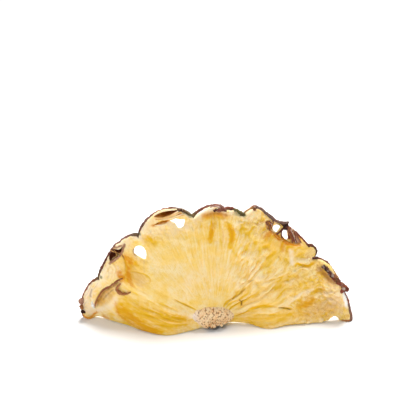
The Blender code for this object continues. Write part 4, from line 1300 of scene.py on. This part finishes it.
# The rind along the rim: angle, how far it wraps to the front in degrees from the top of
# the lip, thickness, and how strong each of its tones is.
RIND = np.array([
    (0.0, 55.0, 0.70, 0.3, 0.0, 0.1, 0.2, 0.1),
    (5.5, 55.0, 0.65, 0.2, 0.0, 0.0, 0.3, 0.1),
    (6.5, 42.0, 0.50, 0.7, 0.0, 0.1, 0.1, 0.0),
    (12.0, 42.0, 0.50, 0.8, 0.0, 0.1, 0.0, 0.0),
    (14.5, 35.0, 0.70, 0.7, 0.0, 0.0, 0.1, 0.0),
    (18.0, 15.0, 0.50, 0.3, 0.0, 0.6, 0.0, 0.0),
    (21.0, 5.0, 0.38, 0.1, 0.0, 0.8, 0.0, 0.0),
    (26.0, 10.0, 0.42, 0.3, 0.0, 0.5, 0.1, 0.0),
    (28.0, 25.0, 0.55, 0.3, 0.0, 0.1, 0.3, 0.0),
    (31.0, 35.0, 0.65, 0.6, 0.0, 0.0, 0.1, 0.0),
    (33.0, 45.0, 0.75, 0.6, 0.0, 0.0, 0.2, 0.0),
    (34.5, 45.0, 0.65, 0.2, 0.2, 0.0, 0.5, 0.0),
    (36.5, 40.0, 0.60, 0.2, 0.1, 0.0, 0.4, 0.0),
    (39.0, 40.0, 0.60, 0.2, 0.1, 0.0, 0.4, 0.0),
    (42.0, 30.0, 0.50, 0.7, 0.0, 0.0, 0.1, 0.0),
    (47.0, 30.0, 0.55, 0.5, 0.0, 0.0, 0.2, 0.0),
    (52.0, 40.0, 0.70, 0.3, 0.0, 0.0, 0.4, 0.0),
    (55.0, 60.0, 0.90, 0.1, 0.0, 0.0, 0.9, 0.0),
    (58.0, 25.0, 0.60, 0.2, 0.0, 0.0, 0.4, 0.0),
    (63.0, 22.0, 0.60, 0.2, 0.0, 0.0, 0.4, 0.0),
    (69.0, 22.0, 0.60, 0.2, 0.0, 0.0, 0.3, 0.0),
    (71.5, 35.0, 0.70, 0.3, 0.0, 0.1, 0.1, 0.0),
    (73.0, 5.0, 0.35, 0.2, 0.2, 0.6, 0.0, 0.0),
    (75.0, 5.0, 0.35, 0.0, 0.5, 0.5, 0.0, 0.0),
    (77.0, 40.0, 0.50, 0.0, 0.9, 0.1, 0.0, 0.0),
    (79.5, 30.0, 0.60, 0.0, 0.9, 0.0, 0.1, 0.0),
    (81.5, 30.0, 0.75, 0.3, 0.0, 0.0, 0.4, 0.0),
    (85.0, 30.0, 0.70, 0.3, 0.0, 0.0, 0.3, 0.1),
    (88.5, 20.0, 0.60, 0.5, 0.0, 0.0, 0.1, 0.1),
    (94.0, 20.0, 0.60, 0.4, 0.0, 0.0, 0.1, 0.0),
    (97.5, 30.0, 0.65, 0.3, 0.2, 0.0, 0.3, 0.0),
    (99.3, 45.0, 0.80, 0.0, 0.7, 0.1, 0.2, 0.0),
    (101.0, 50.0, 0.75, 0.0, 0.7, 0.0, 0.2, 0.2),
    (105.0, 40.0, 0.65, 0.1, 0.4, 0.0, 0.2, 0.3),
    (107.0, 35.0, 0.60, 0.4, 0.0, 0.0, 0.4, 0.0),
    (109.0, -5.0, 0.40, 0.6, 0.0, 0.2, 0.0, 0.0),
    (114.0, 0.0, 0.40, 0.6, 0.0, 0.2, 0.0, 0.0),
    (116.5, 22.0, 0.48, 0.4, 0.0, 0.0, 0.1, 0.1),
    (120.5, 42.0, 0.72, 0.3, 0.0, 0.0, 0.2, 0.1),
    (124.0, 36.0, 0.62, 0.3, 0.0, 0.0, 0.3, 0.0),
    (126.0, 45.0, 0.65, 0.0, 0.5, 0.0, 0.5, 0.0),
    (130.0, 26.0, 0.45, 0.3, 0.0, 0.0, 0.2, 0.1),
    (139.0, 26.0, 0.45, 0.3, 0.0, 0.0, 0.2, 0.1),
    (143.0, 40.0, 0.55, 0.3, 0.0, 0.0, 0.2, 0.0),
    (150.0, 44.0, 0.60, 0.2, 0.0, 0.0, 0.2, 0.0),
    (156.5, 44.0, 0.60, 0.0, 0.5, 0.0, 0.3, 0.0),
    (159.5, 20.0, 0.40, 0.6, 0.2, 0.0, 0.0, 0.0),
    (172.0, 20.0, 0.38, 0.8, 0.0, 0.1, 0.0, 0.0),
    (180.0, 30.0, 0.50, 0.8, 0.0, 0.3, 0.0, 0.0),
])


def build_rind(material):
    """The rind: a ragged hem that wraps the lip of the rim, finely ridged across."""
    angles = column_angles(RIND_STEP)
    ones = np.ones_like(angles)
    rim = sheet_point(angles, ones)
    inside = JUST_INSIDE_RIM * ones
    outward = unit(rim - sheet_point(angles, inside))
    before = sheet_point(np.maximum(angles - 2.0, 0.0), inside)
    after = sheet_point(np.minimum(angles + 2.0, LAST_CUSP[0]), inside)
    back = unit(np.cross(after - before, outward))
    wrap, thickness = (np.interp(angles, RIND[:, 0], RIND[:, column]) for column in (1, 2))
    run = np.radians(angles) * RIND_RUN_RADIUS
    front_edge = 16.0 * grain(run / 1.5, 50.0, 0.0) + 9.0 * grain(run / 0.5, 51.0, 0.0)
    back_edge = 14.0 * grain(run / 1.8, 52.0, 0.0) + 8.0 * grain(run / 0.6, 53.0, 0.0)
    across = np.linspace(0.0, 1.0, RIND_ROWS + 1)
    start = -(wrap + front_edge)
    turn = np.radians(start[:, None] + (RIND_BACK_WRAP + back_edge - start)[:, None] * across)
    half = sheet_thickness(angles, ones)[:, None] / 2.0
    centre = rim - outward * LIP_ROUNDING
    side, top = back[:, None], outward[:, None]
    sideways, upwards = np.sin(turn)[..., None], np.cos(turn)[..., None]
    half = half[..., None]
    way = unit(side * sideways / half + top * upwards / LIP_ROUNDING)
    surface = centre[:, None] + side * sideways * half + top * upwards * LIP_ROUNDING
    lengthways, round_lip = run[:, None], np.degrees(turn) / 40.0
    rough = 0.24 * grain(lengthways / 0.9, 54.0, round_lip)
    rough = rough + 0.14 * grain(lengthways / 0.4, 55.0, round_lip * 0.6)
    edge_taper = 1.0 - 0.75 * np.abs(2.0 * across - 1.0) ** 4
    depth = (thickness[:, None] + rough) * edge_taper - RIND_SINK
    outer = surface + way * depth[..., None]
    inner = surface - way * RIND_ROOT
    rind = add_slab("rind_hem", outer, inner, 0.3)
    points = mesh_points(rind)
    height = np.maximum(points[:, 2] - RING_CENTRE_HEIGHT, 0.0)
    angle = np.degrees(np.arctan2(height, points[:, 0]))
    patchy = patches(points[:, 0], points[:, 2], 1.4, 56.0)
    for column, name in enumerate(RIND_TONES, 3):
        set_mask(rind, name, np.interp(angle, RIND[:, 0], RIND[:, column]) * (1.0 + 0.6 * patchy))
    return finish_piece(rind, material)


def on_front(points, lift):
    """A smooth path along the front of the sheet."""
    curve = curve_through(points)
    return front_point(curve[:, 0], curve[:, 1], lift)[0]


def add_rind_piece(name, shapes, tones, material):
    """A piece of rind made of shapes, each of its own tones, a little patchy."""
    thing = add_shapes(name, shapes)
    points = mesh_points(thing)
    counts = [len(shape_points) for shape_points, _ in shapes]
    patchy = 1.0 + 0.7 * grain(points[:, 0] / 0.8, points[:, 1] / 0.8, points[:, 2] / 0.8)
    for mask in RIND_TONES:
        set_mask(thing, mask, np.repeat([tone.get(mask, 0.0) for tone in tones], counts) * patchy)
    return finish_piece(thing, material)


# Strands of rind and torn edges that lie along the front: the line, how far it is lifted,
# the radius at its start, middle and end, and its tones.
RIND_STRANDS = {
    "rind_strip": ([(15.3, 46.7), (17.6, 45.1), (19.2, 43.4), (21.0, 41.6), (23.1, 40.3),
        (25.2, 39.8), (27.0, 39.9)], 0.2, (0.32, 0.48, 0.46), dict(dark=0.35, pale=0.1)),
    "crown_roll": ([(-0.8, 47.2), (0.8, 47.5), (2.0, 47.4), (2.6, 46.9), (2.4, 46.5)], 0.25,
        (0.2, 0.35, 0.3), dict(red=0.5, pale=0.4)),
    "crown_strand": ([(3.2, 46.6), (4.6, 47.1), (6.2, 47.3), (7.5, 47.0)], 0.25, (0.3, 0.36, 0.2),
        dict(red=0.3)),
    "hollow_lip_low": ([(-42.0, 5.4), (-41.7, 7.4), (-40.8, 10.0), (-39.6, 12.5)], 0.35,
        (0.2, 0.26, 0.26), dict(red=0.9, tan=0.4)),
    "hollow_lip": ([(-40.4, 10.9), (-39.2, 13.2), (-37.6, 15.2), (-36.0, 16.7), (-34.4, 18.3),
        (-33.2, 19.3), (-32.0, 20.3)], 0.4, (0.22, 0.46, 0.22), dict(red=0.7, tan=0.2)),
    "hollow_stem": ([(-32.8, 18.0), (-33.8, 16.4), (-34.0, 15.0), (-33.2, 14.0), (-32.0, 13.6),
        (-30.6, 13.9), (-29.4, 14.9)], 0.45, (0.3, 0.72, 0.22), dict(red=1.0, tan=0.45)),
    "strand_0": ([(26.4, 38.6), (25.2, 37.2), (23.8, 35.9), (22.7, 35.2)], 0.1, (0.5, 0.30, 0.4),
        dict(dark=0.4, red=0.5)),
    "strand_1": ([(25.6, 37.6), (24.6, 35.8), (24.8, 33.8)], 0.1, (0.35, 0.22, 0.3),
        dict(dark=0.3, red=0.6)),
    "strand_2": ([(26.6, 38.4), (27.2, 36.0), (27.3, 33.4)], 0.1, (0.5, 0.35, 0.4),
        dict(dark=0.2, red=0.8)),
    "foot_edge": ([(46.9, 0.6), (48.4, 0.5), (49.9, 0.6)], 0.05, (0.2, 0.28, 0.3),
        dict(red=0.7, tan=0.3)),
    "spike_up": ([(-32.2, 29.6), (-31.5, 31.2), (-30.7, 33.6)], 0.1, (0.32, 0.30, 0.10),
        dict(red=0.9, tan=0.25, pale=0.15)),
    "spike_down": ([(-32.4, 30.2), (-31.7, 29.3), (-31.0, 28.0)], 0.0, (0.26, 0.22, 0.08),
        dict(red=0.8, tan=0.4)),
    "spike_left": ([(-32.3, 29.2), (-34.4, 27.5), (-36.3, 26.1)], 0.1, (0.28, 0.34, 0.26),
        dict(red=0.9, tan=0.25, pale=0.2)),
    "vein_0": ([(-35.7, 30.9), (-34.4, 30.4), (-32.4, 29.8)], -0.2, (0.2, 0.15, 0.15),
        dict(tan=0.9)),
    "vein_1": ([(-34.6, 31.6), (-33.8, 30.0), (-33.6, 28.4)], -0.3, (0.12, 0.14, 0.12),
        dict(tan=0.8)),
}

# Torn tissue, each a fringe of fine strands: the lines that they start from and end at, how
# many there are, how far they are lifted and how thick they are.
FRINGES = {
    "torn_eye_right": ([(27.2, 38.0), (28.0, 37.4), (28.9, 36.6)], [(28.0, 32.4), (29.8, 32.2),
        (31.6, 32.0)], 16, 0.20, 0.24),
    "torn_eye_left": ([(19.0, 40.0), (20.2, 40.8), (21.4, 40.6)], [(20.0, 37.0), (21.0, 37.4),
        (22.0, 38.4)], 9, 0.05, 0.18),
}

# Knots and bract tips on the rim: the angle, how far out and how far to the front of the
# middle of the rim they sit, half sizes, turn and tones.
KNOBS = {
    "left_knob": (171.8, 0.4, 0.7, (1.0, 0.9, 1.2), 20.0, dict(red=0.7, tan=0.2, pale=0.2)),
    "left_low_knob": (175.0, 0.1, 0.6, (0.8, 0.8, 1.0), -20.0, dict(red=0.9, tan=0.4)),
    "left_notch": (176.8, -0.3, 1.3, (0.9, 0.6, 0.6), 20.0, dict(dark=0.9)),
    "right_knob": (13.9, 1.1, 0.8, (1.0, 0.9, 1.1), 30.0, dict(red=0.8, dark=0.3)),
    # A pale lump beside the right knob: painted highlight.
    "right_highlight_tip": (15.2, 0.4, 2.0, (0.6, 0.5, 0.55), 0.0, dict(pale=0.9)),
    "low_knob": (13.6, -0.6, 1.3, (0.6, 0.5, 0.9), 10.0, dict(red=1.0)),
    "knot": (54.4, 0.2, 1.0, (0.95, 0.9, 1.15), 15.0, dict(dark=0.8, red=0.3)),
    "cusp_knot": (33.0, -0.5, 1.2, (1.2, 0.6, 0.40), -10.0, dict(dark=0.5)),
    "strip_curl": (71.5, 0.1, 1.2, (0.6, 0.6, 0.7), 0.0, dict(red=0.5, tan=0.3)),
    "green_tip": (76.7, -0.3, 1.0, (0.8, 0.5, 0.7), 30.0, dict(green=0.9)),
}

# Crumpled rind, each a row of small lumps: the line, how many there are, their half size,
# how far they are lifted, and the tones at the row's start and end.
CRUMPLES = {
    "rolled_rind": ([(39.7, 22.4), (41.0, 21.2), (42.4, 19.8), (43.6, 18.4), (44.8, 17.3),
        (46.0, 16.2), (47.1, 15.0)], 40, 0.80, 0.40, dict(dark=0.7, red=0.3), dict(red=1.0,
        dark=0.1)),
    "crown_roll_low": ([(0.9, 46.0), (2.2, 46.2), (3.6, 46.5), (4.8, 46.8)], 16, 0.60, 0.45,
        dict(dark=0.5, red=0.9), dict(red=0.9, dark=0.35, pale=0.1)),
    "crown_scales": ([(-12.4, 48.0), (-10.8, 47.4), (-9.4, 46.6), (-8.0, 45.2)], 18, 0.42, 0.15,
        dict(red=0.3, dark=0.5), dict(green=0.7, dark=0.2)),
    "cusp_scales": ([(7.8, 46.2), (9.2, 45.4), (10.3, 44.5), (11.2, 44.0)], 26, 0.50, 0.15,
        dict(green=0.9, dark=0.1), dict(green=0.9, dark=0.3)),
    "top_curl": ([(13.6, 46.1), (14.5, 46.5), (15.4, 46.3)], 6, 0.40, 0.1, dict(tan=0.5),
        dict(dark=0.4, red=0.4)),
}


def build_rind_details(material):
    """Rolled rind, torn edges, strands, knots and bract tips."""
    rng = np.random.default_rng(11)
    for number, (name, (points, lift, radii, tones)) in enumerate(RIND_STRANDS.items()):
        path = on_front(points, lift)
        strand = tube_shape(path, swell_along(path, *radii), 16, rough=0.3, seed=3.0 * number)
        add_rind_piece(name, [strand], [tones], material)
    for number, (name, (angle, out, forward, radii, turn, tones)) in enumerate(KNOBS.items()):
        rim, inner = sheet_point(np.array([angle, angle]), np.array([1.0, JUST_INSIDE_RIM]))
        centre = rim + unit(rim - inner) * out - np.array([0.0, forward, 0.0])
        knob = lump_shape(centre, radii, turn, 0.45, 3.0 * number)
        add_rind_piece(name, [knob], [tones], material)
    for name, (starts, ends, count, lift, radius) in FRINGES.items():
        starts, ends = curve_through(starts), curve_through(ends)
        shapes, tones = [], []
        for number in range(count):
            place = (number + rng.uniform(0.0, 0.8)) / count
            start, end = starts[int(place * len(starts))], ends[int(place * len(ends))]
            parts = (0.0, 0.35, 0.7, 1.0)
            bends = [start + (end - start) * part + rng.uniform(-0.3, 0.3, 2) for part in parts]
            path = on_front(bends, lift + rng.uniform(-0.2, 0.2))
            swell = radius * rng.uniform(0.6, 1.3) * np.linspace(1.2, 0.6, len(path))
            shapes.append(tube_shape(path, swell, 10, rough=0.35, seed=2.0 * number))
            tones.append({
                "red": rng.uniform(0.6, 1.0),
                "tan": max(0.0, rng.uniform(-0.2, 0.8)),
                "dark": max(0.0, rng.uniform(-0.6, 0.8)),
                "pale": max(0.0, rng.uniform(-0.5, 0.6)),
            })
        add_rind_piece(name, shapes, tones, material)
    for name, (points, count, size, lift, first, last) in CRUMPLES.items():
        line = curve_through(points)
        shapes, tones = [], []
        for number in range(count):
            along = number / (count - 1)
            x, z = line[round(along * (len(line) - 1))] + rng.uniform(-0.55, 0.55, 2) * size
            half = size * rng.uniform(0.7, 1.15) * (0.70 + 0.30 * math.sin(math.pi * along))
            centre = front_point(x, z, lift + rng.uniform(-0.3, 0.3) * size)[0][0]
            radii, turn = (1.3 * half, half, 0.75 * half), rng.uniform(10.0, 80.0)
            shapes.append(lump_shape(centre, radii, turn, 0.5, 5.0 * number, detail=3))
            tone = {
                name: (1.0 - along) * first.get(name, 0.0) + along * last.get(name, 0.0)
                for name in RIND_TONES
            }
            tone["dark"] *= rng.uniform(0.2, 1.8)
            tone["tan"] += (1.0 - tone["green"]) * max(0.0, rng.uniform(-0.7, 0.4))
            tone["pale"] += (1.0 - tone["green"]) * max(0.0, rng.uniform(-0.8, 0.35))
            tones.append(tone)
        add_rind_piece(name, shapes, tones, material)


# Thin lips of flesh along the open eyes: the line, the radius and its tones.
LIPS = {
    "mouth_lip_0": ([(-20.8, 45.0), (-17.4, 44.7), (-14.4, 45.5), (-11.5, 46.8), (-10.0, 46.6)],
        0.45, dict(pale=0.5, caramel=0.45)),
    "mouth_lip_1": ([(-18.6, 43.9), (-15.0, 44.5), (-11.9, 45.6), (-10.0, 45.9)], 0.35,
        dict(pale=0.7)),
    "mouth_lip_2": ([(-21.2, 45.4), (-19.6, 46.7), (-17.6, 47.7), (-14.6, 48.1), (-11.8, 47.9)],
        0.35, dict(pale=0.9)),
    "slit_lip": ([(-20.2, 41.9), (-17.8, 41.9), (-15.6, 42.6)], 0.35, dict(pale=1.0)),
    # A white lip on the brim of the torn fruitlet's hollow: painted highlight.
    "hollow_white": ([(-42.9, 7.6), (-42.6, 6.3), (-42.2, 4.9)], 0.6, dict(white=1.0)),
    "foot_lip": ([(47.1, 12.2), (47.6, 10.4), (48.2, 8.2), (48.7, 6.2)], 0.6, dict(white=1.0)),
    "torn_eye_lip": ([(19.8, 37.6), (20.6, 36.8), (22.3, 35.4), (24.4, 33.6), (26.4, 32.5),
        (29.0, 31.8), (31.0, 31.6)], 0.45, dict(caramel=1.0, brown=0.25)),
}


# The lips' share of the painted light and shade of the relief: a touch paler than middling.
LIP_LIGHT_AND_SHADE = 0.6


def build_lips(material):
    """Thin lips of flesh along the open eyes."""
    for name, (points, radius, tones) in LIPS.items():
        path = on_front(points, 0.1)
        swell = swell_along(path, 0.3 * radius, radius, 0.3 * radius)
        lip = add_mesh(name, *tube_shape(path, swell, 14, rough=0.3, seed=len(name)))
        for mask in (*COLOURS, "fibre", "shaded_wrinkles", "tone"):
            set_mask(lip, mask, {"tone": LIP_LIGHT_AND_SHADE, **tones}.get(mask, 0.0))
        set_vector(lip, "fan", mesh_points(lip))
        finish_piece(lip, material)


# ---------------------------------------------------------------- core

# The core's outline as seen from the front: its middle, and its radius at each angle. It
# stands proud of the flesh, more at the front, and is covered in coarse grains.
CORE_MIDDLE = (-0.4, 1.4)
CORE_OUTLINE = np.array([
    (0.0, 5.2), (8.0, 6.4), (16.0, 8.3), (26.0, 8.7), (40.0, 8.2), (53.0, 7.8), (79.0, 7.3),
    (95.0, 7.6), (108.0, 8.1), (119.0, 8.3), (132.0, 9.2), (145.0, 9.3), (154.0, 8.2),
    (161.0, 6.2), (170.0, 4.7), (180.0, 4.2),
])
CORE_PROUD_FRONT = 1.7
CORE_PROUD_BACK = 1.1
CORE_ROOT = 0.5
CORE_COLUMNS = 241
CORE_ROWS = 74
CORE_INNERMOST = 0.04
CORE_SHARP = 80.0

# The grains stand in rows over a field in x and z, every other row half a grain further on.
# The row step, jitter and half width are shares of a grain's size.
CORE_GRAIN_SIZE = 0.78
CORE_GRAIN_HEIGHT = 0.48
CORE_GRAIN_ROW_STEP = 0.87
CORE_GRAIN_JITTER = 0.3
CORE_GRAIN_HALF_WIDTH = 0.66
CORE_GRAIN_FIELD_X = (-12.0, 11.0)
CORE_GRAIN_FIELD_Z = (-1.0, 11.0)
CORE_SEED = 7


def core_grains(x, z, rng):
    """Round grains in loose rows: their height at each place, from 0 to 1."""
    columns = np.arange(*CORE_GRAIN_FIELD_X, CORE_GRAIN_SIZE)
    rows = np.arange(*CORE_GRAIN_FIELD_Z, CORE_GRAIN_SIZE * CORE_GRAIN_ROW_STEP)
    across, up = np.meshgrid(columns, rows)
    across = across + 0.5 * CORE_GRAIN_SIZE * (np.arange(len(rows)) % 2)[:, None]
    reach = CORE_GRAIN_JITTER * CORE_GRAIN_SIZE
    at_x = (across + rng.uniform(-reach, reach, across.shape)).ravel()
    at_z = (up + rng.uniform(-reach, reach, up.shape)).ravel()
    nearest = nearest_places(x.ravel(), z.ravel(), at_x, at_z)
    distance = np.hypot(x.ravel() - at_x[nearest], z.ravel() - at_z[nearest]).reshape(x.shape)
    part = distance / (CORE_GRAIN_HALF_WIDTH * CORE_GRAIN_SIZE)
    return np.sqrt(np.maximum(0.0, 1.0 - part**2))


def build_core(material):
    """The half disc of woody core, covered in coarse grains, with a ragged lower edge."""
    angles = np.linspace(0.0, 180.0, CORE_COLUMNS)
    parts = np.linspace(CORE_INNERMOST, 1.0, CORE_ROWS)
    angle, part = np.meshgrid(angles, parts, indexing="ij")
    rough = 0.05 * grain(angle / 9.0, 70.0, 0.0) + 0.03 * grain(angle / 3.0, 71.0, 0.0)
    outline = np.interp(angle, CORE_OUTLINE[:, 0], CORE_OUTLINE[:, 1]) * (1.0 + rough)
    x = CORE_MIDDLE[0] + outline * part * np.cos(np.radians(angle))
    rise = outline * part * np.sin(np.radians(angle))
    teeth = 0.30 * np.abs(grain(x * 1.5, 72.0, 0.0)) + 0.15 * grain(x * 3.5, 73.0, 0.0)
    z = CORE_MIDDLE[1] + rise + teeth * np.exp(-rise / 0.5)
    flat_x, flat_z = x.ravel(), z.ravel()
    front, back_way = front_point(flat_x, flat_z)
    front = front.reshape(*x.shape, 3)
    back_way = back_way.reshape(*x.shape, 3)
    fan_angle, reach = fan_place(flat_x, flat_z)
    thickness = sheet_thickness(fan_angle, reach).reshape(x.shape)
    rng = np.random.default_rng(CORE_SEED)
    sides, gaps = [], []
    for side, proud in ((-1.0, CORE_PROUD_FRONT), (1.0, CORE_PROUD_BACK)):
        dome = core_grains(x, z, rng)
        bulge = (proud + CORE_ROOT) * np.sqrt(1.0 - part**2.5) - CORE_ROOT
        lumps = 0.3 * patches(x, z, 2.0, 74.0 + side)
        height = bulge + (CORE_GRAIN_HEIGHT * dome + lumps) * (1.0 - part**8)
        base = front if side < 0.0 else front + back_way * thickness[..., None]
        sides.append(base + side * back_way * height[..., None])
        # Between the grains the core is browner: partly its own colour, partly painted shade.
        gaps.append(smooth_fall(0.15, 0.85, dome))
    core = add_slab("core_disc", *sides, 0.05)
    points = mesh_points(core)
    seam = np.ones(len(points) - 2 * x.size)
    gap = np.concatenate([gaps[0].ravel(), gaps[1].ravel(), seam])
    set_mask(core, "gap", gap)
    set_mask(core, "pale", smooth_fall(-8.0, -4.5, points[:, 0]) * (1.0 - 0.5 * gap))
    # Painted shade: the lowest part of the core's middle is near-black, for the shaded gap between
    # it and the floor.
    low = smooth_fall(1.3, 2.2, points[:, 2] + 0.5 * grain(points[:, 0] * 1.5, 75.0, 0.0))
    under = smooth_step(-4.0, -2.0, points[:, 0]) * smooth_fall(7.5, 9.0, points[:, 0])
    set_mask(core, "dark", low * under)
    return finish_piece(core, material, sharp=CORE_SHARP)


# ---------------------------------------------------------------- stage

# The photo's camera: its turn and tilt in degrees, its lens and sensor, how large it shows
# the slice, and a place on the slice with the pixel that it falls on.
CAMERA_AZIMUTH = -9.0
CAMERA_ELEVATION = 27.0
LENS = 100.0
SENSOR = 36.0
PICTURE_SIDE = 416.0
PIXELS_PER_MM = 2.75
ANCHOR = np.array([0.0, 5.7, 1.5])
ANCHOR_PIXEL = np.array([213.0, 322.0])

# The floor and the light, in metres and watts.
FLOOR_HALF = 3.0
FLOOR_WHITE = 0.93
SKY_STRENGTH = 0.30
LIGHT_SIZE = 0.25
LIGHT_TARGET = Vector((0.0, 0.0, 0.02))


def build_camera():
    """The photo's camera: the anchor point falls on its pixel, at the photo's scale."""
    azimuth, elevation = math.radians(CAMERA_AZIMUTH), math.radians(CAMERA_ELEVATION)
    right = np.array([math.cos(azimuth), math.sin(azimuth), 0.0])
    level = np.array([math.sin(azimuth), -math.cos(azimuth), 0.0])
    back = level * math.cos(elevation) + np.array([0.0, 0.0, math.sin(elevation)])
    up = np.cross(back, right)
    off = (ANCHOR_PIXEL - PICTURE_SIDE / 2.0) / PIXELS_PER_MM
    distance = LENS / SENSOR * PICTURE_SIDE / PIXELS_PER_MM
    eye = ANCHOR - right * off[0] + up * off[1] + back * distance
    data = bpy.data.cameras.new("camera")
    data.lens = LENS
    data.sensor_width = SENSOR
    data.clip_start = 0.01
    data.clip_end = 20.0
    camera = link_object("camera", data)
    turn = Matrix((right, up, back)).transposed().to_4x4()
    camera.matrix_world = Matrix.Translation(Vector((eye - FRAME_ORIGIN) * MM)) @ turn
    bpy.context.scene.camera = camera


def add_light(name, place, power):
    """A square soft box that shines on the slice."""
    data = bpy.data.lights.new(name, "AREA")
    data.shape = "SQUARE"
    data.size = LIGHT_SIZE
    data.energy = power
    light = link_object(name, data)
    light.location = place
    light.rotation_euler = (LIGHT_TARGET - Vector(place)).to_track_quat("-Z", "Y").to_euler()


def build_stage():
    """A white floor under soft studio light."""
    mesh = bpy.data.meshes.new("floor")
    signs = [(-1, -1), (1, -1), (1, 1), (-1, 1)]
    corners = [(FLOOR_HALF * x, FLOOR_HALF * y, 0.0) for x, y in signs]
    mesh.from_pydata(corners, [], [range(4)])
    paint = bpy.data.materials.new("white_paper")
    paint.use_nodes = True
    shader = paint.node_tree.nodes["Principled BSDF"]
    shader.inputs["Base Color"].default_value = (FLOOR_WHITE, FLOOR_WHITE, FLOOR_WHITE, 1.0)
    shader.inputs["Roughness"].default_value = 0.9
    shader.inputs["Specular IOR Level"].default_value = 0.1
    mesh.materials.append(paint)
    link_object("floor", mesh)
    world = bpy.data.worlds.new("studio")
    world.use_nodes = True
    sky = world.node_tree.nodes["Background"]
    sky.inputs["Color"].default_value = (1.0, 1.0, 1.0, 1.0)
    sky.inputs["Strength"].default_value = SKY_STRENGTH
    bpy.context.scene.world = world
    add_light("overhead", (0.07, 0.13, 0.58), 5.1)
    add_light("front_fill", (-0.30, -0.45, 0.55), 1.6)
    bpy.context.scene.view_settings.view_transform = "Standard"


# ---------------------------------------------------------------- the whole

flesh_look = flesh_material()
rind_look = rind_material()
build_flesh(flesh_look)
build_rind(rind_look)
build_rind_details(rind_look)
build_lips(flesh_look)
build_core(core_material())
build_camera()
build_stage()
